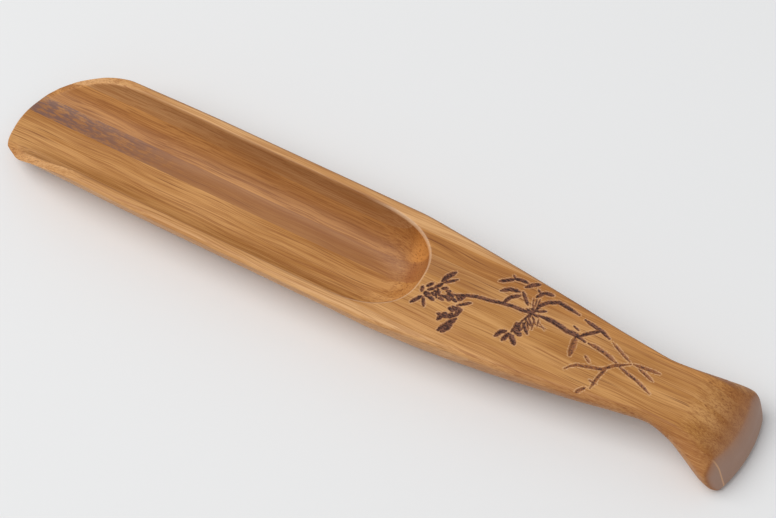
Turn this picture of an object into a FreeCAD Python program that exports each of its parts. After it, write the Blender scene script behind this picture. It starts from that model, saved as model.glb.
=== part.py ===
# Tea scoop carved from one board of upright bamboo strips glued side by side.
# It is one shape: an open bowl with a U section, a tapering handle, and a heel that flares out and down.
# The strips are what the carver's board was made of, so each is a solid of its own, glued face to face.
# Frame: millimetres, X along the scoop with the pouring lip at -X, Y across it, Z up from the table.

import FreeCAD, Part
import math
import os

# Whole scoop
LENGTH = 179.0
HEIGHT = 13.5

# Bowl: outside, trough and pouring lip
BOWL_HALF_WIDTH = 14.85
BOWL_FRONT_NARROWING = 0.5
BOWL_FRONT_HALF_WIDTH = BOWL_HALF_WIDTH - BOWL_FRONT_NARROWING
BOWL_TAPER_FROM = 14.0
BOWL_FULL_FROM = 46.0
BOWL_FULL_TO = 93.0
WALL_THICKNESS = 2.65
TROUGH_HALF_WIDTH = BOWL_HALF_WIDTH - WALL_THICKNESS
TROUGH_DEPTH = 9.5
TROUGH_FLOOR_HALF_WIDTH = 4.0
TROUGH_STRAIGHT_TO = 82.5
TROUGH_END_LENGTH = 18.6
RIM_BEVEL = 0.5
LIP_THICKNESS = 1.3
LIP_LAND_ABOVE_FLOOR = 0.4
LIP_FRONT_RADIUS = 18.0
LIP_SIDE_SHIFT = 1.5
LIP_FULL_BY = 14.0
CUT_BACK_FROM = 3.4
CUT_BACK_ANGLE = math.radians(30.0)
CUT_BACK_FOOT_RADIUS = 7.0
CUT_BACK_BROW_RADIUS = 27.0

# Handle
HEEL_LENGTH = 21.5
NECK_AT = LENGTH - HEEL_LENGTH
NECK_HALF_WIDTH = 7.6
NECK_THICKNESS = 6.7
SHOULDER_ROUND = 0.9

# Heel
HEEL_TOP_HALF_WIDTH = 8.6
HEEL_FLARE = 3.8
HEEL_WIDEST_DROP = 5.2
HEEL_DOME_LENGTH = 16.0
HEEL_DOME_FROM = LENGTH - HEEL_DOME_LENGTH
HEEL_DOME_DROP = 8.9
HEEL_END_RADIUS = 34.0
HEEL_END_LEAN = math.radians(17.0)
HEEL_CORNER_ROUND = 2.6
HEEL_SIDE_SPARE = 0.4
# The carver's hand: from here on the middle swings to the far side, and the end is bowed furthest there
SWING_LENGTH = 37.0
SWING_FROM = LENGTH - SWING_LENGTH
HEEL_SIDE_SHIFT = 0.8
HEEL_END_SIDE_SHIFT = 1.4
HEEL_END_ROUND = 0.6

# Underside
BELLY_FROM = 34.0
BELLY_TO = 108.0
BELLY_HALF_WIDTH = 1.5
NECK_BELLY_HALF_WIDTH = 1.5
HEEL_BELLY_HALF_WIDTH = 6.5
BELLY_FLAT = 1.2

# Board
NEAR_STRIP_WIDTH = 2.5
FAR_STRIP_WIDTH = 3.95
MIDDLE_STRIPS = 5
STRIP_PITCH = (2 * BOWL_HALF_WIDTH - NEAR_STRIP_WIDTH - FAR_STRIP_WIDTH) / MIDDLE_STRIPS
# A strip ends where the carving leaves it this thin; the last sliver stays with the strip inside it
FEATHER = 0.3

# One overrun serves every cutter and slab
OVERRUN = 8.0
# Two places closer than this are the same place
TOLERANCE = 0.02

# Plan taper from the bowl's width to the neck's: share of the way, share of the difference left
TAPER_SHARES = ((0, 1), (0.155, 0.89), (0.39, 0.68), (0.62, 0.44), (0.78, 0.25), (0.9, 0.1), (1, 0))
# From the neck to the heel's end: how far the top has widened, the flank flared and its widest line sunk
HEEL_WIDEN_SHARES = ((0, 0), (0.35, 0.2), (0.75, 0.85), (1, 1))
HEEL_FLARE_SHARES = ((0, 0), (0.25, 0.18), (0.5, 0.56), (0.75, 0.92), (1, 1))
WIDEST_SINK_SHARES = ((0, 0.25), (0.25, 0.5), (0.5, 0.78), (0.75, 0.95), (1, 1))
# How far the middle has swung to the far side by the heel's end
SWING_SHARES = ((0, 0), (0.2, 0.3), (0.5, 0.8), (0.7, 1), (1, 1))
# Underside: how much is left of the lip's rise, of the handle's rise and of the heel's fall
LIP_RISE_SHARES = ((0, 1), (0.24, 0.52), (0.53, 0.18), (1, 0))
HANDLE_RISE_SHARES = ((0, 0), (0.28, 0.17), (0.59, 0.6), (0.84, 0.92), (1, 1))
HEEL_FALL_SHARES = ((0, 1), (0.2, 0.9), (0.42, 0.5), (0.64, 0.12), (0.85, 0), (1, 0))
# Lean of the flank where it leaves the rim, as a slope, by share of the length
FLANK_LEAN_SHARES = ((0, 0.2), (0.11, 0.25), (0.47, 0.25), (0.61, 0.1), (0.89, 0.1), (0.94, 0), (1, 0))
# Handles of the curves in a section: shares of the width or height that each curve covers
SHOULDER_HANDLE_SHARE = 0.35
FLANK_HANDLE_SHARE = 0.55
BELLY_HANDLE_SHARE = 0.5
# Where sections are drawn, as shares of the length
SECTION_SHARES = (-0.02, 0.03, 0.08, 0.14, 0.22, 0.33, 0.44, 0.52, 0.56, 0.6, 0.645, 0.69, 0.74, 0.79, 0.83,
                  0.87, 0.895, 0.92, 0.94, 0.96, 0.98, 0.995, 1.01)
# Depths at which the trough's outline is drawn, as shares of its depth; the first is above the rim
TROUGH_LEVEL_SHARES = (-0.3, -0.15, 0, 0.21, 0.42, 0.61, 0.76, 0.87, 0.953, 0.99, 1)
# The trough's closed end is squarer than an ellipse, and its wall there leans a little more than the sides
TROUGH_END_POWER = 2.53
TROUGH_END_LEAN_SHARE = 1.1
TROUGH_END_STEPS = 8


def at(distance):
    """X of a place at a distance from the lip."""
    return distance - LENGTH / 2


def eased(table, place):
    """Value at a place of a smooth curve through a table's points that never overshoots them."""
    if place <= table[0][0]:
        return table[0][1]
    if place >= table[-1][0]:
        return table[-1][1]
    slopes = [(b[1] - a[1]) / (b[0] - a[0]) for a, b in zip(table, table[1:])]
    bends = [0]
    for before, after in zip(slopes, slopes[1:]):
        level = before * after <= 0
        bends.append(0 if level else 2 * before * after / (before + after))
    bends.append(0)
    index = max(i for i, point in enumerate(table[:-1]) if point[0] <= place)
    start, end = table[index], table[index + 1]
    span = end[0] - start[0]
    t = (place - start[0]) / span
    keep = 2 * t ** 3 - 3 * t ** 2 + 1
    leave = (t ** 3 - 2 * t ** 2 + t) * span * bends[index]
    arrive = (t ** 3 - t ** 2) * span * bends[index + 1]
    return keep * start[1] + leave + (1 - keep) * end[1] + arrive


def along_heel(place):
    """Share of the way from the neck to the end."""
    return (place - NECK_AT) / (LENGTH - NECK_AT)


def side_shift(place):
    """How far the middle lies to the far side at a distance from the lip."""
    return HEEL_SIDE_SHIFT * eased(SWING_SHARES, (place - SWING_FROM) / (LENGTH - SWING_FROM))


def top_half_width(place):
    """Half the width of the top, rounding included, at a distance from the lip."""
    if place < BOWL_FULL_FROM:
        widening = ((BOWL_TAPER_FROM, BOWL_FRONT_HALF_WIDTH), (BOWL_FULL_FROM, BOWL_HALF_WIDTH))
        return eased(widening, place)
    if place <= NECK_AT:
        share = (place - BOWL_FULL_TO) / (NECK_AT - BOWL_FULL_TO)
        return NECK_HALF_WIDTH + (BOWL_HALF_WIDTH - NECK_HALF_WIDTH) * eased(TAPER_SHARES, share)
    widened = eased(HEEL_WIDEN_SHARES, along_heel(place))
    return NECK_HALF_WIDTH + (HEEL_TOP_HALF_WIDTH - NECK_HALF_WIDTH) * widened


def widest_half_width(place):
    """Half the width along the flank's widest line at a distance from the lip."""
    return top_half_width(place) + HEEL_FLARE * eased(HEEL_FLARE_SHARES, along_heel(place))


def widest_drop(place):
    """Depth below the rim of the flank's widest line."""
    sunk = eased(WIDEST_SINK_SHARES, along_heel(place)) if place > NECK_AT else 0
    if NECK_AT >= place > BELLY_TO:
        sunk = WIDEST_SINK_SHARES[0][1] * (place - BELLY_TO) / (NECK_AT - BELLY_TO)
    return SHOULDER_ROUND + (HEEL_WIDEST_DROP - SHOULDER_ROUND) * sunk


def top_drop(place):
    """How far the heel's dome has fallen below the rim."""
    share = max(0, (place - HEEL_DOME_FROM) / (LENGTH - HEEL_DOME_FROM))
    return HEEL_DOME_DROP * share ** 2


def underside(place):
    """Height of the underside above the table, before the resting flats are sanded."""
    if place < BELLY_FROM:
        rise = HEIGHT - TROUGH_DEPTH - LIP_THICKNESS + BELLY_FLAT
        return rise * eased(LIP_RISE_SHARES, place / BELLY_FROM) - BELLY_FLAT
    rise = HEIGHT - NECK_THICKNESS + BELLY_FLAT
    if place <= NECK_AT:
        share = eased(HANDLE_RISE_SHARES, (place - BELLY_TO) / (NECK_AT - BELLY_TO))
        return rise * share - BELLY_FLAT
    return rise * eased(HEEL_FALL_SHARES, along_heel(place)) - BELLY_FLAT


def belly_half_width(place):
    """Half the width of the level stretch under a section."""
    table = ((BELLY_FROM, BELLY_HALF_WIDTH), (BOWL_FULL_TO, BELLY_HALF_WIDTH),
             (NECK_AT, NECK_BELLY_HALF_WIDTH), (LENGTH, HEEL_BELLY_HALF_WIDTH))
    return eased(table, place)


def bezier(poles):
    """Edge along a Bezier curve."""
    curve = Part.BezierCurve()
    curve.setPoles(poles)
    return curve.toShape()


def half_section(place, side):
    """Poles of the shoulder curve and the flank curve on one side of a section."""
    lean = eased(FLANK_LEAN_SHARES, place / LENGTH)
    edge = top_half_width(place) - SHOULDER_ROUND
    widest = widest_half_width(place)
    top = HEIGHT - top_drop(place)
    middle = HEIGHT - widest_drop(place) - top_drop(place) / 2
    bottom = underside(place)
    belly = belly_half_width(place)
    upper = SHOULDER_HANDLE_SHARE * (top - middle)
    lower = FLANK_HANDLE_SHARE * (middle - bottom)
    outward = SHOULDER_HANDLE_SHARE * (widest - edge)
    inward = BELLY_HANDLE_SHARE * (widest - belly)
    shift = side_shift(place)

    def point(y, z):
        return FreeCAD.Vector(at(place), shift + side * y, z)

    shoulder = [point(edge, top), point(edge + outward, top),
                point(widest + lean * upper, middle + upper), point(widest, middle)]
    flank = [point(widest, middle), point(widest - lean * lower, middle - lower),
             point(belly + inward, bottom), point(belly, bottom)]
    return shoulder, flank


def section(place):
    """Closed outline of the scoop's outside, square to its length."""
    far_shoulder, far_flank = half_section(place, 1)
    near_shoulder, near_flank = half_section(place, -1)
    return Part.Wire([
        Part.makeLine(near_shoulder[0], far_shoulder[0]),
        bezier(far_shoulder),
        bezier(far_flank),
        Part.makeLine(far_flank[-1], near_flank[-1]),
        bezier(near_flank[::-1]),
        bezier(near_shoulder[::-1]),
    ])


def outside():
    """The scoop's outer body, run past both ends and a little below the table."""
    return Part.makeLoft([section(share * LENGTH) for share in SECTION_SHARES], True, False)


def under_table():
    """What is sanded off so that the belly and the heel rest in one plane."""
    return Part.makeBox(
        LENGTH + 4 * OVERRUN, 2 * BOWL_HALF_WIDTH + 2 * OVERRUN, OVERRUN,
        FreeCAD.Vector(at(-2 * OVERRUN), -BOWL_HALF_WIDTH - OVERRUN, -OVERRUN))


def trough_outline(inset, height):
    """Plan outline of the trough, drawn in from the rim, open past the lip and closed at the handle."""
    half = TROUGH_HALF_WIDTH - inset
    reach = TROUGH_END_LENGTH - TROUGH_END_LEAN_SHARE * inset
    points = []
    for step in range(-TROUGH_END_STEPS, TROUGH_END_STEPS + 1):
        turn = math.pi / 2 * step / TROUGH_END_STEPS
        forward = max(math.cos(turn), 0) ** (2 / TROUGH_END_POWER)
        sideways = math.copysign(abs(math.sin(turn)) ** (2 / TROUGH_END_POWER), turn)
        points.append(FreeCAD.Vector(at(TROUGH_STRAIGHT_TO) + reach * forward, half * sideways, height))
    end = Part.BSplineCurve()
    end.interpolate(Points=points, InitialTangent=FreeCAD.Vector(1, 0, 0),
                    FinalTangent=FreeCAD.Vector(-1, 0, 0))
    near_front = FreeCAD.Vector(at(-OVERRUN), -half, height)
    far_front = FreeCAD.Vector(at(-OVERRUN), half, height)
    return Part.Wire([
        Part.makeLine(near_front, points[0]),
        end.toShape(),
        Part.makeLine(points[-1], far_front),
        Part.makeLine(far_front, near_front),
    ])


def trough():
    """What the gouge takes out: a U section with a rounded closed end."""
    levels = []
    for share in TROUGH_LEVEL_SHARES:
        round_share = math.sqrt(1 - max(share, 0) ** 2)
        inset = (TROUGH_HALF_WIDTH - TROUGH_FLOOR_HALF_WIDTH) * (1 - round_share)
        levels.append(trough_outline(inset, HEIGHT - share * TROUGH_DEPTH))
    return Part.makeLoft(levels, True, False)


def cut_back():
    """What is cut off the walls towards the lip: a slope with a rounded foot and brow."""
    foot_height = HEIGHT - TROUGH_DEPTH + LIP_LAND_ABOVE_FLOOR
    level = FreeCAD.Vector(1, 0, 0)
    slope = FreeCAD.Vector(math.cos(CUT_BACK_ANGLE), 0, math.sin(CUT_BACK_ANGLE))
    foot = FreeCAD.Vector(at(CUT_BACK_FROM), -BOWL_HALF_WIDTH - OVERRUN, foot_height)
    brow = foot + slope * ((HEIGHT - foot_height) / math.sin(CUT_BACK_ANGLE))
    half_turn = CUT_BACK_ANGLE / 2
    foot_step = CUT_BACK_FOOT_RADIUS * math.tan(half_turn)
    brow_step = CUT_BACK_BROW_RADIUS * math.tan(half_turn)
    bisector = FreeCAD.Vector(-math.sin(half_turn), 0, math.cos(half_turn))
    foot_sag = CUT_BACK_FOOT_RADIUS * (1 / math.cos(half_turn) - 1)
    brow_sag = CUT_BACK_BROW_RADIUS * (1 / math.cos(half_turn) - 1)
    front = FreeCAD.Vector(at(-OVERRUN), foot.y, foot.z)
    lift = FreeCAD.Vector(0, 0, OVERRUN + HEIGHT)
    last = brow + level * brow_step
    outline = [
        Part.makeLine(front, foot - level * foot_step),
        Part.Arc(foot - level * foot_step, foot + bisector * foot_sag, foot + slope * foot_step).toShape(),
        Part.makeLine(foot + slope * foot_step, brow - slope * brow_step),
        Part.Arc(brow - slope * brow_step, brow - bisector * brow_sag, last).toShape(),
        Part.makeLine(last, last + lift),
        Part.makeLine(last + lift, front + lift),
        Part.makeLine(front + lift, front),
    ]
    width = FreeCAD.Vector(0, 2 * BOWL_HALF_WIDTH + 2 * OVERRUN, 0)
    return Part.Face(Part.Wire(outline)).extrude(width)


def lip_keep():
    """What is kept at the front: behind a rounded lip edge that reaches furthest a little to the near side."""
    tall = HEIGHT + 2 * OVERRUN
    round_part = Part.makeCylinder(
        LIP_FRONT_RADIUS, tall, FreeCAD.Vector(at(LIP_FRONT_RADIUS), -LIP_SIDE_SHIFT, -OVERRUN))
    rest = Part.makeBox(
        LENGTH + OVERRUN, 2 * BOWL_HALF_WIDTH + 2 * OVERRUN, tall,
        FreeCAD.Vector(at(LIP_FULL_BY), -BOWL_HALF_WIDTH - OVERRUN, -OVERRUN))
    return round_part.fuse(rest)


def heel_keep():
    """What is kept at the back: a leaning block with a bowed end and rounded corners."""
    tall = 2 * (HEIGHT + 2 * OVERRUN)
    half = HEEL_TOP_HALF_WIDTH + HEEL_FLARE + HEEL_SIDE_SPARE
    upward = FreeCAD.Vector(0, 0, 1)
    centre = FreeCAD.Vector(-HEEL_END_RADIUS, HEEL_SIDE_SHIFT + HEEL_END_SIDE_SHIFT, -tall / 2)
    drum = Part.makeCylinder(HEEL_END_RADIUS, tall, centre, upward)
    drum.rotate(centre, upward, 180)
    reach = LENGTH - NECK_AT + OVERRUN
    sides = Part.makeBox(
        reach + OVERRUN, 2 * half, tall, FreeCAD.Vector(-reach, HEEL_SIDE_SHIFT - half, -tall / 2))
    block = drum.common(sides).Solids[0]
    corners = [edge for edge in block.Edges if edge.Length > HEIGHT and -OVERRUN < middle_of(edge).x]
    corners = [edge for edge in corners if edge.BoundBox.YLength < TOLERANCE]
    block = block.makeFillet(HEEL_CORNER_ROUND, corners)
    block.rotate(FreeCAD.Vector(), FreeCAD.Vector(0, 1, 0), -math.degrees(HEEL_END_LEAN))
    block.translate(FreeCAD.Vector(at(LENGTH), 0, 0))
    rest = Part.makeBox(
        NECK_AT + 2 * OVERRUN, 2 * BOWL_HALF_WIDTH + 2 * OVERRUN, HEIGHT + 2 * OVERRUN,
        FreeCAD.Vector(at(-2 * OVERRUN), -BOWL_HALF_WIDTH - OVERRUN, -OVERRUN))
    return block.fuse(rest)


def middle_of(edge):
    """Point half way along an edge."""
    first, last = edge.ParameterRange
    return edge.valueAt((first + last) / 2)


def softened_heel(body):
    """The heel with the outline of its bowed end sanded soft."""
    found = []
    for face in body.Faces:
        if face.Surface.TypeId == "Part::GeomCylinder":
            found += face.Edges
    codes = [edge.hashCode() for edge in found]
    outer = [edge for edge in found if codes.count(edge.hashCode()) == 1]
    return body.makeFillet(HEEL_END_ROUND, outer)


def softened_rim(body):
    """The trough's upper edge broken with a small bevel, along both walls and round the closed end."""
    trough_end = at(TROUGH_STRAIGHT_TO + TROUGH_END_LENGTH)
    edges = []
    for edge in body.Edges:
        middle = middle_of(edge)
        level = abs(middle.z - HEIGHT) < TOLERANCE
        inside = abs(middle.y) < TROUGH_HALF_WIDTH + TOLERANCE
        if level and inside and middle.x < trough_end + TOLERANCE:
            edges.append(edge)
    return body.makeChamfer(RIM_BEVEL, edges)


def scoop():
    """The whole carved shape."""
    body = softened_heel(outside().common(heel_keep()).Solids[0])
    body = body.cut(under_table()).cut(cut_back()).cut(trough()).Solids[0]
    return softened_rim(body).common(lip_keep())


def near_reach(place):
    """How far the outside reaches to the near side at a distance from the lip."""
    return widest_half_width(place) - side_shift(place)


def far_reach(place):
    """How far the outside reaches to the far side at a distance from the lip."""
    return widest_half_width(place) + side_shift(place)


def place_where(reach, wanted, wide, narrow):
    """The place between a wide one and a narrow one where the outside reaches just as far as wanted."""
    while abs(wide - narrow) > TOLERANCE:
        middle = (wide + narrow) / 2
        if reach(middle) > wanted:
            wide = middle
        else:
            narrow = middle
    return wide


def strip(body, corners):
    """What the body takes from one strip of the board, given the strip's plan as corners."""
    points = [FreeCAD.Vector(x, y, -OVERRUN) for x, y in corners]
    plan = Part.Face(Part.makePolygon(points + points[:1]))
    return body.common(plan.extrude(FreeCAD.Vector(0, 0, HEIGHT + 2 * OVERRUN))).Solids[0]


def plain(start, stop, near_side, far_side):
    """Corners of a straight strip."""
    return [(start, near_side), (stop, near_side), (stop, far_side), (start, far_side)]


def strips(body):
    """Every strip of the board by name, from the near side to the far side."""
    glue = [NEAR_STRIP_WIDTH - BOWL_HALF_WIDTH + STRIP_PITCH * index for index in range(MIDDLE_STRIPS + 1)]
    near, far = -BOWL_HALF_WIDTH - OVERRUN, BOWL_HALF_WIDTH + OVERRUN
    front, back = at(-OVERRUN), at(LENGTH + OVERRUN)
    edge_end = at(place_where(near_reach, FEATHER - glue[0], BOWL_FULL_TO, NECK_AT))
    wall_end = at(place_where(near_reach, FEATHER - glue[1], BOWL_FULL_TO, NECK_AT))
    block_start = at(place_where(near_reach, FEATHER - glue[1], LENGTH, NECK_AT))
    far_edge_end = at(place_where(far_reach, FEATHER + glue[5], BOWL_FULL_TO, NECK_AT))
    return {
        "near_edge_strip": strip(body, plain(front, edge_end, near, glue[0])),
        "near_wall_strip": strip(body, [
            (front, glue[0]), (edge_end, glue[0]), (edge_end, near),
            (wall_end, near), (wall_end, glue[1]), (front, glue[1])]),
        "near_heel_block": strip(body, plain(block_start, back, near, glue[1])),
        "near_floor_strip": strip(body, [
            (front, glue[1]), (wall_end, glue[1]), (wall_end, near), (block_start, near),
            (block_start, glue[1]), (back, glue[1]), (back, glue[2]), (front, glue[2])]),
        "centre_strip": strip(body, plain(front, back, glue[2], glue[3])),
        "dark_strip": strip(body, plain(front, back, glue[3], glue[4])),
        "far_wall_strip": strip(body, [
            (front, glue[4]), (back, glue[4]), (back, far),
            (far_edge_end, far), (far_edge_end, glue[5]), (front, glue[5])]),
        "far_edge_strip": strip(body, plain(front, far_edge_end, glue[5], far)),
    }


def build():
    """Write every strip as a part of its own."""
    os.makedirs("parts", exist_ok=True)
    for name, shape in strips(scoop()).items():
        shape.exportStep("parts/" + name + ".step")


build()
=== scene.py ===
# %% [markdown]
# A carved bamboo tea scoop, dressed for a render.
# The real one is cut from a small board of upright bamboo strips glued side by side.
# It has an open trough that ends in a thin pouring lip, a tapering handle,
# and a heel that flares out and down.
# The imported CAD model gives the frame: eight strips, each a node of its own.
# Here each strip gets a finer mesh of the same shape, a burnt branch is cut into the handle,
# and every strip gets its own piece of bamboo as a finish.

import math

import bmesh
import bpy
import numpy as np
from mathutils import Color, Matrix, Vector


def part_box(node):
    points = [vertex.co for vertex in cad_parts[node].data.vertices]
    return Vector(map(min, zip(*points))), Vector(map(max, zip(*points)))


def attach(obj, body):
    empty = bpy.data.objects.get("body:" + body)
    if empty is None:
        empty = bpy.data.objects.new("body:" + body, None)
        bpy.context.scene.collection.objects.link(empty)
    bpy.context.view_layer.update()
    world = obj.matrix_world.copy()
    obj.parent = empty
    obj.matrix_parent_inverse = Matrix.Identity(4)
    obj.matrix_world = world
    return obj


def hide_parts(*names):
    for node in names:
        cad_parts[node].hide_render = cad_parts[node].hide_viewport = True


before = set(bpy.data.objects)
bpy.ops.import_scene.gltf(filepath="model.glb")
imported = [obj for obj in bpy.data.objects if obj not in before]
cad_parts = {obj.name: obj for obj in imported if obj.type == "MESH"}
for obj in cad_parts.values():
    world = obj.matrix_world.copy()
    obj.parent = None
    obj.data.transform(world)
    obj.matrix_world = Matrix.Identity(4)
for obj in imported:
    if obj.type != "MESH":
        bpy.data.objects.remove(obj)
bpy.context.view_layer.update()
MM = 0.001

# %% [markdown]
# The strips of the real scoop share one carved surface, so the scene needs that surface as a rule.
# Sculpting it by eye would drift away from the CAD part, so it is computed from the carver's sizes.
# They are in millimetres and the same as in the CAD part.
# Distances along the scoop are counted from the pouring lip.

# %% Sizes of the bowl and its lip
LENGTH = 179.0
HEIGHT = 13.5
BOWL_HALF_WIDTH = 14.85
BOWL_FRONT_HALF_WIDTH = 14.35
BOWL_TAPER_FROM = 14.0
BOWL_FULL_FROM = 46.0
BOWL_FULL_TO = 93.0
TROUGH_HALF_WIDTH = 12.2
TROUGH_DEPTH = 9.5
TROUGH_FLOOR_HALF_WIDTH = 4.0
TROUGH_STRAIGHT_TO = 82.5
TROUGH_END_LENGTH = 18.6
TROUGH_END_POWER = 2.53
TROUGH_END_LEAN_SHARE = 1.1
LIP_THICKNESS = 1.3
LIP_LAND_ABOVE_FLOOR = 0.4
LIP_FRONT_RADIUS = 18.0
LIP_SIDE_SHIFT = 1.5
CUT_BACK_FROM = 3.4
CUT_BACK_ANGLE = math.radians(30.0)
CUT_BACK_FOOT_RADIUS = 7.0
CUT_BACK_BROW_RADIUS = 27.0
print("trough in mm:", 2 * TROUGH_HALF_WIDTH, "wide,", TROUGH_DEPTH, "deep")

# %% [markdown]
# Behind the trough the handle narrows to a neck, where a thumb and two fingers hold it.
# The heel behind the neck flares, domes over and swings a little to the far side, as the carver's hand
# left it. Under the belly and the heel lie the two flats on which the scoop rests.

# %% Sizes of the handle, the heel and the underside
NECK_AT = 157.5
NECK_HALF_WIDTH = 7.6
NECK_THICKNESS = 6.7
SHOULDER_ROUND = 0.9
HEEL_TOP_HALF_WIDTH = 8.6
HEEL_FLARE = 3.8
HEEL_WIDEST_DROP = 5.2
HEEL_DOME_FROM = 163.0
HEEL_DOME_DROP = 8.9
HEEL_END_RADIUS = 34.0
HEEL_END_LEAN = math.radians(17.0)
HEEL_CORNER_ROUND = 2.6
HEEL_SIDE_SPARE = 0.4
SWING_FROM = 142.0
HEEL_SIDE_SHIFT = 0.8
HEEL_END_SIDE_SHIFT = 1.4
BELLY_FROM = 34.0
BELLY_TO = 108.0
BELLY_HALF_WIDTH = 1.5
HEEL_BELLY_HALF_WIDTH = 6.5
BELLY_FLAT = 1.2
heel_width = round(2 * (HEEL_TOP_HALF_WIDTH + HEEL_FLARE), 2)
print("heel in mm:", LENGTH - NECK_AT, "long,", heel_width, "wide at most")

# %% [markdown]
# Between those sizes the outline runs in soft curves. Each is a short table of shares: how far along
# a stretch, and how much of the change is done by then. A smooth curve through the table never
# overshoots it, which a plain spline would, and so leaves no waves in the wood.

# %% Curves of the shape, as shares
TAPER_SHARES = ((0, 1), (0.155, 0.89), (0.39, 0.68), (0.62, 0.44), (0.78, 0.25), (0.9, 0.1), (1, 0))
HEEL_WIDEN_SHARES = ((0, 0), (0.35, 0.2), (0.75, 0.85), (1, 1))
HEEL_FLARE_SHARES = ((0, 0), (0.25, 0.18), (0.5, 0.56), (0.75, 0.92), (1, 1))
WIDEST_SINK_SHARES = ((0, 0.25), (0.25, 0.5), (0.5, 0.78), (0.75, 0.95), (1, 1))
SWING_SHARES = ((0, 0), (0.2, 0.3), (0.5, 0.8), (0.7, 1), (1, 1))
LIP_RISE_SHARES = ((0, 1), (0.24, 0.52), (0.53, 0.18), (1, 0))
HANDLE_RISE_SHARES = ((0, 0), (0.28, 0.17), (0.59, 0.6), (0.84, 0.92), (1, 1))
HEEL_FALL_SHARES = ((0, 1), (0.2, 0.9), (0.42, 0.5), (0.64, 0.12), (0.85, 0), (1, 0))
FLANK_LEAN_SHARES = ((0, 0.2), (0.11, 0.25), (0.47, 0.25), (0.61, 0.1), (0.89, 0.1), (0.94, 0), (1, 0))
SHOULDER_HANDLE_SHARE = 0.35
FLANK_HANDLE_SHARE = 0.55
BELLY_HANDLE_SHARE = 0.5


def eased(table, place):
    """Values at places of a smooth curve through a table's points that never overshoots them."""
    xs, ys = np.array(table, float).T
    slope = np.diff(ys) / np.diff(xs)
    paired = slope[:-1] * slope[1:]
    total = np.where(paired > 0, slope[:-1] + slope[1:], 1)
    bend = np.zeros(len(xs))
    bend[1:-1] = np.where(paired > 0, 2 * paired / total, 0)
    i = np.clip(np.searchsorted(xs, place, side="right") - 1, 0, len(xs) - 2)
    span = xs[i + 1] - xs[i]
    t = np.clip((place - xs[i]) / span, 0, 1)
    keep = 2 * t**3 - 3 * t**2 + 1
    leave = (t**3 - 2 * t**2 + t) * span * bend[i]
    arrive = (t**3 - t**2) * span * bend[i + 1]
    return keep * ys[i] + leave + (1 - keep) * ys[i + 1] + arrive


print("half way down the handle, the taper is at", round(float(eased(TAPER_SHARES, 0.5)), 3))

# %% [markdown]
# Seen from above, the bowl is widest, the handle tapers and the heel flares again.
# A traced outline would be a long list of points. Widths as functions of the place stay short,
# and they take whole arrays of places, which keeps thousands of points quick.

# %% Widths along the scoop
def along_heel(place):
    """Share of the way from the neck to the heel's end."""
    return (place - NECK_AT) / (LENGTH - NECK_AT)


def side_shift(place):
    """How far the middle lies to the far side."""
    return HEEL_SIDE_SHIFT * eased(SWING_SHARES, (place - SWING_FROM) / (LENGTH - SWING_FROM))


def top_half_width(place):
    """Half the width of the top, rounding included."""
    front = eased(((BOWL_TAPER_FROM, BOWL_FRONT_HALF_WIDTH), (BOWL_FULL_FROM, BOWL_HALF_WIDTH)), place)
    share = (place - BOWL_FULL_TO) / (NECK_AT - BOWL_FULL_TO)
    taper = NECK_HALF_WIDTH + (BOWL_HALF_WIDTH - NECK_HALF_WIDTH) * eased(TAPER_SHARES, share)
    widened = eased(HEEL_WIDEN_SHARES, along_heel(place))
    heel = NECK_HALF_WIDTH + (HEEL_TOP_HALF_WIDTH - NECK_HALF_WIDTH) * widened
    return np.where(place < BOWL_FULL_FROM, front, np.where(place <= NECK_AT, taper, heel))


def widest_half_width(place):
    """Half the width along the flank's widest line."""
    return top_half_width(place) + HEEL_FLARE * eased(HEEL_FLARE_SHARES, along_heel(place))


MID_BOWL = 60.0
places = np.array([MID_BOWL, NECK_AT, LENGTH])
print("half widths of bowl, neck and heel in mm:", widest_half_width(places).round(2))

# %% [markdown]
# Seen from the side, the scoop is thin at the lip, rests on its belly, rises under the handle
# and comes down again at the heel, whose top is domed. The heights are made like the widths.

# %% Heights along the scoop
def widest_drop(place):
    """Depth below the rim of the flank's widest line."""
    start = WIDEST_SINK_SHARES[0][1]
    before = start * np.clip((place - BELLY_TO) / (NECK_AT - BELLY_TO), 0, 1)
    sunk = np.where(place > NECK_AT, eased(WIDEST_SINK_SHARES, along_heel(place)), before)
    return SHOULDER_ROUND + (HEEL_WIDEST_DROP - SHOULDER_ROUND) * sunk


def top_drop(place):
    """How far the heel's dome has fallen below the rim."""
    share = np.maximum(0, (place - HEEL_DOME_FROM) / (LENGTH - HEEL_DOME_FROM))
    return HEEL_DOME_DROP * share**2


def underside(place):
    """Height of the underside before the resting flats are sanded."""
    lip_rise = HEIGHT - TROUGH_DEPTH - LIP_THICKNESS + BELLY_FLAT
    lip = lip_rise * eased(LIP_RISE_SHARES, place / BELLY_FROM)
    rise = HEIGHT - NECK_THICKNESS + BELLY_FLAT
    handle = rise * eased(HANDLE_RISE_SHARES, (place - BELLY_TO) / (NECK_AT - BELLY_TO))
    heel = rise * eased(HEEL_FALL_SHARES, along_heel(place))
    return np.where(place < BELLY_FROM, lip, np.where(place <= NECK_AT, handle, heel)) - BELLY_FLAT


print("height of the underside at the neck in mm:", round(float(underside(NECK_AT)), 2))

# %% [markdown]
# A section square to the scoop's length has a rounded shoulder and a flank that curves in to the belly.
# Arcs would leave corners where they meet, so each is one Bezier curve
# whose ends move along the scoop, as they do under the carver's knife.

# %% One side of a section, point by point
def belly_half_width(place):
    """Half the width of the level stretch under a section."""
    table = ((NECK_AT, BELLY_HALF_WIDTH), (LENGTH, HEEL_BELLY_HALF_WIDTH))
    return eased(table, place)


def bezier(poles, t):
    """Points of a Bezier curve through four poles, for arrays of poles and shares."""
    a, b, c, d = poles
    return a * (1 - t) ** 3 + 3 * b * t * (1 - t) ** 2 + 3 * c * t**2 * (1 - t) + d * t**3


SHOULDER_STEPS = 24
FLANK_STEPS = 140


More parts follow.
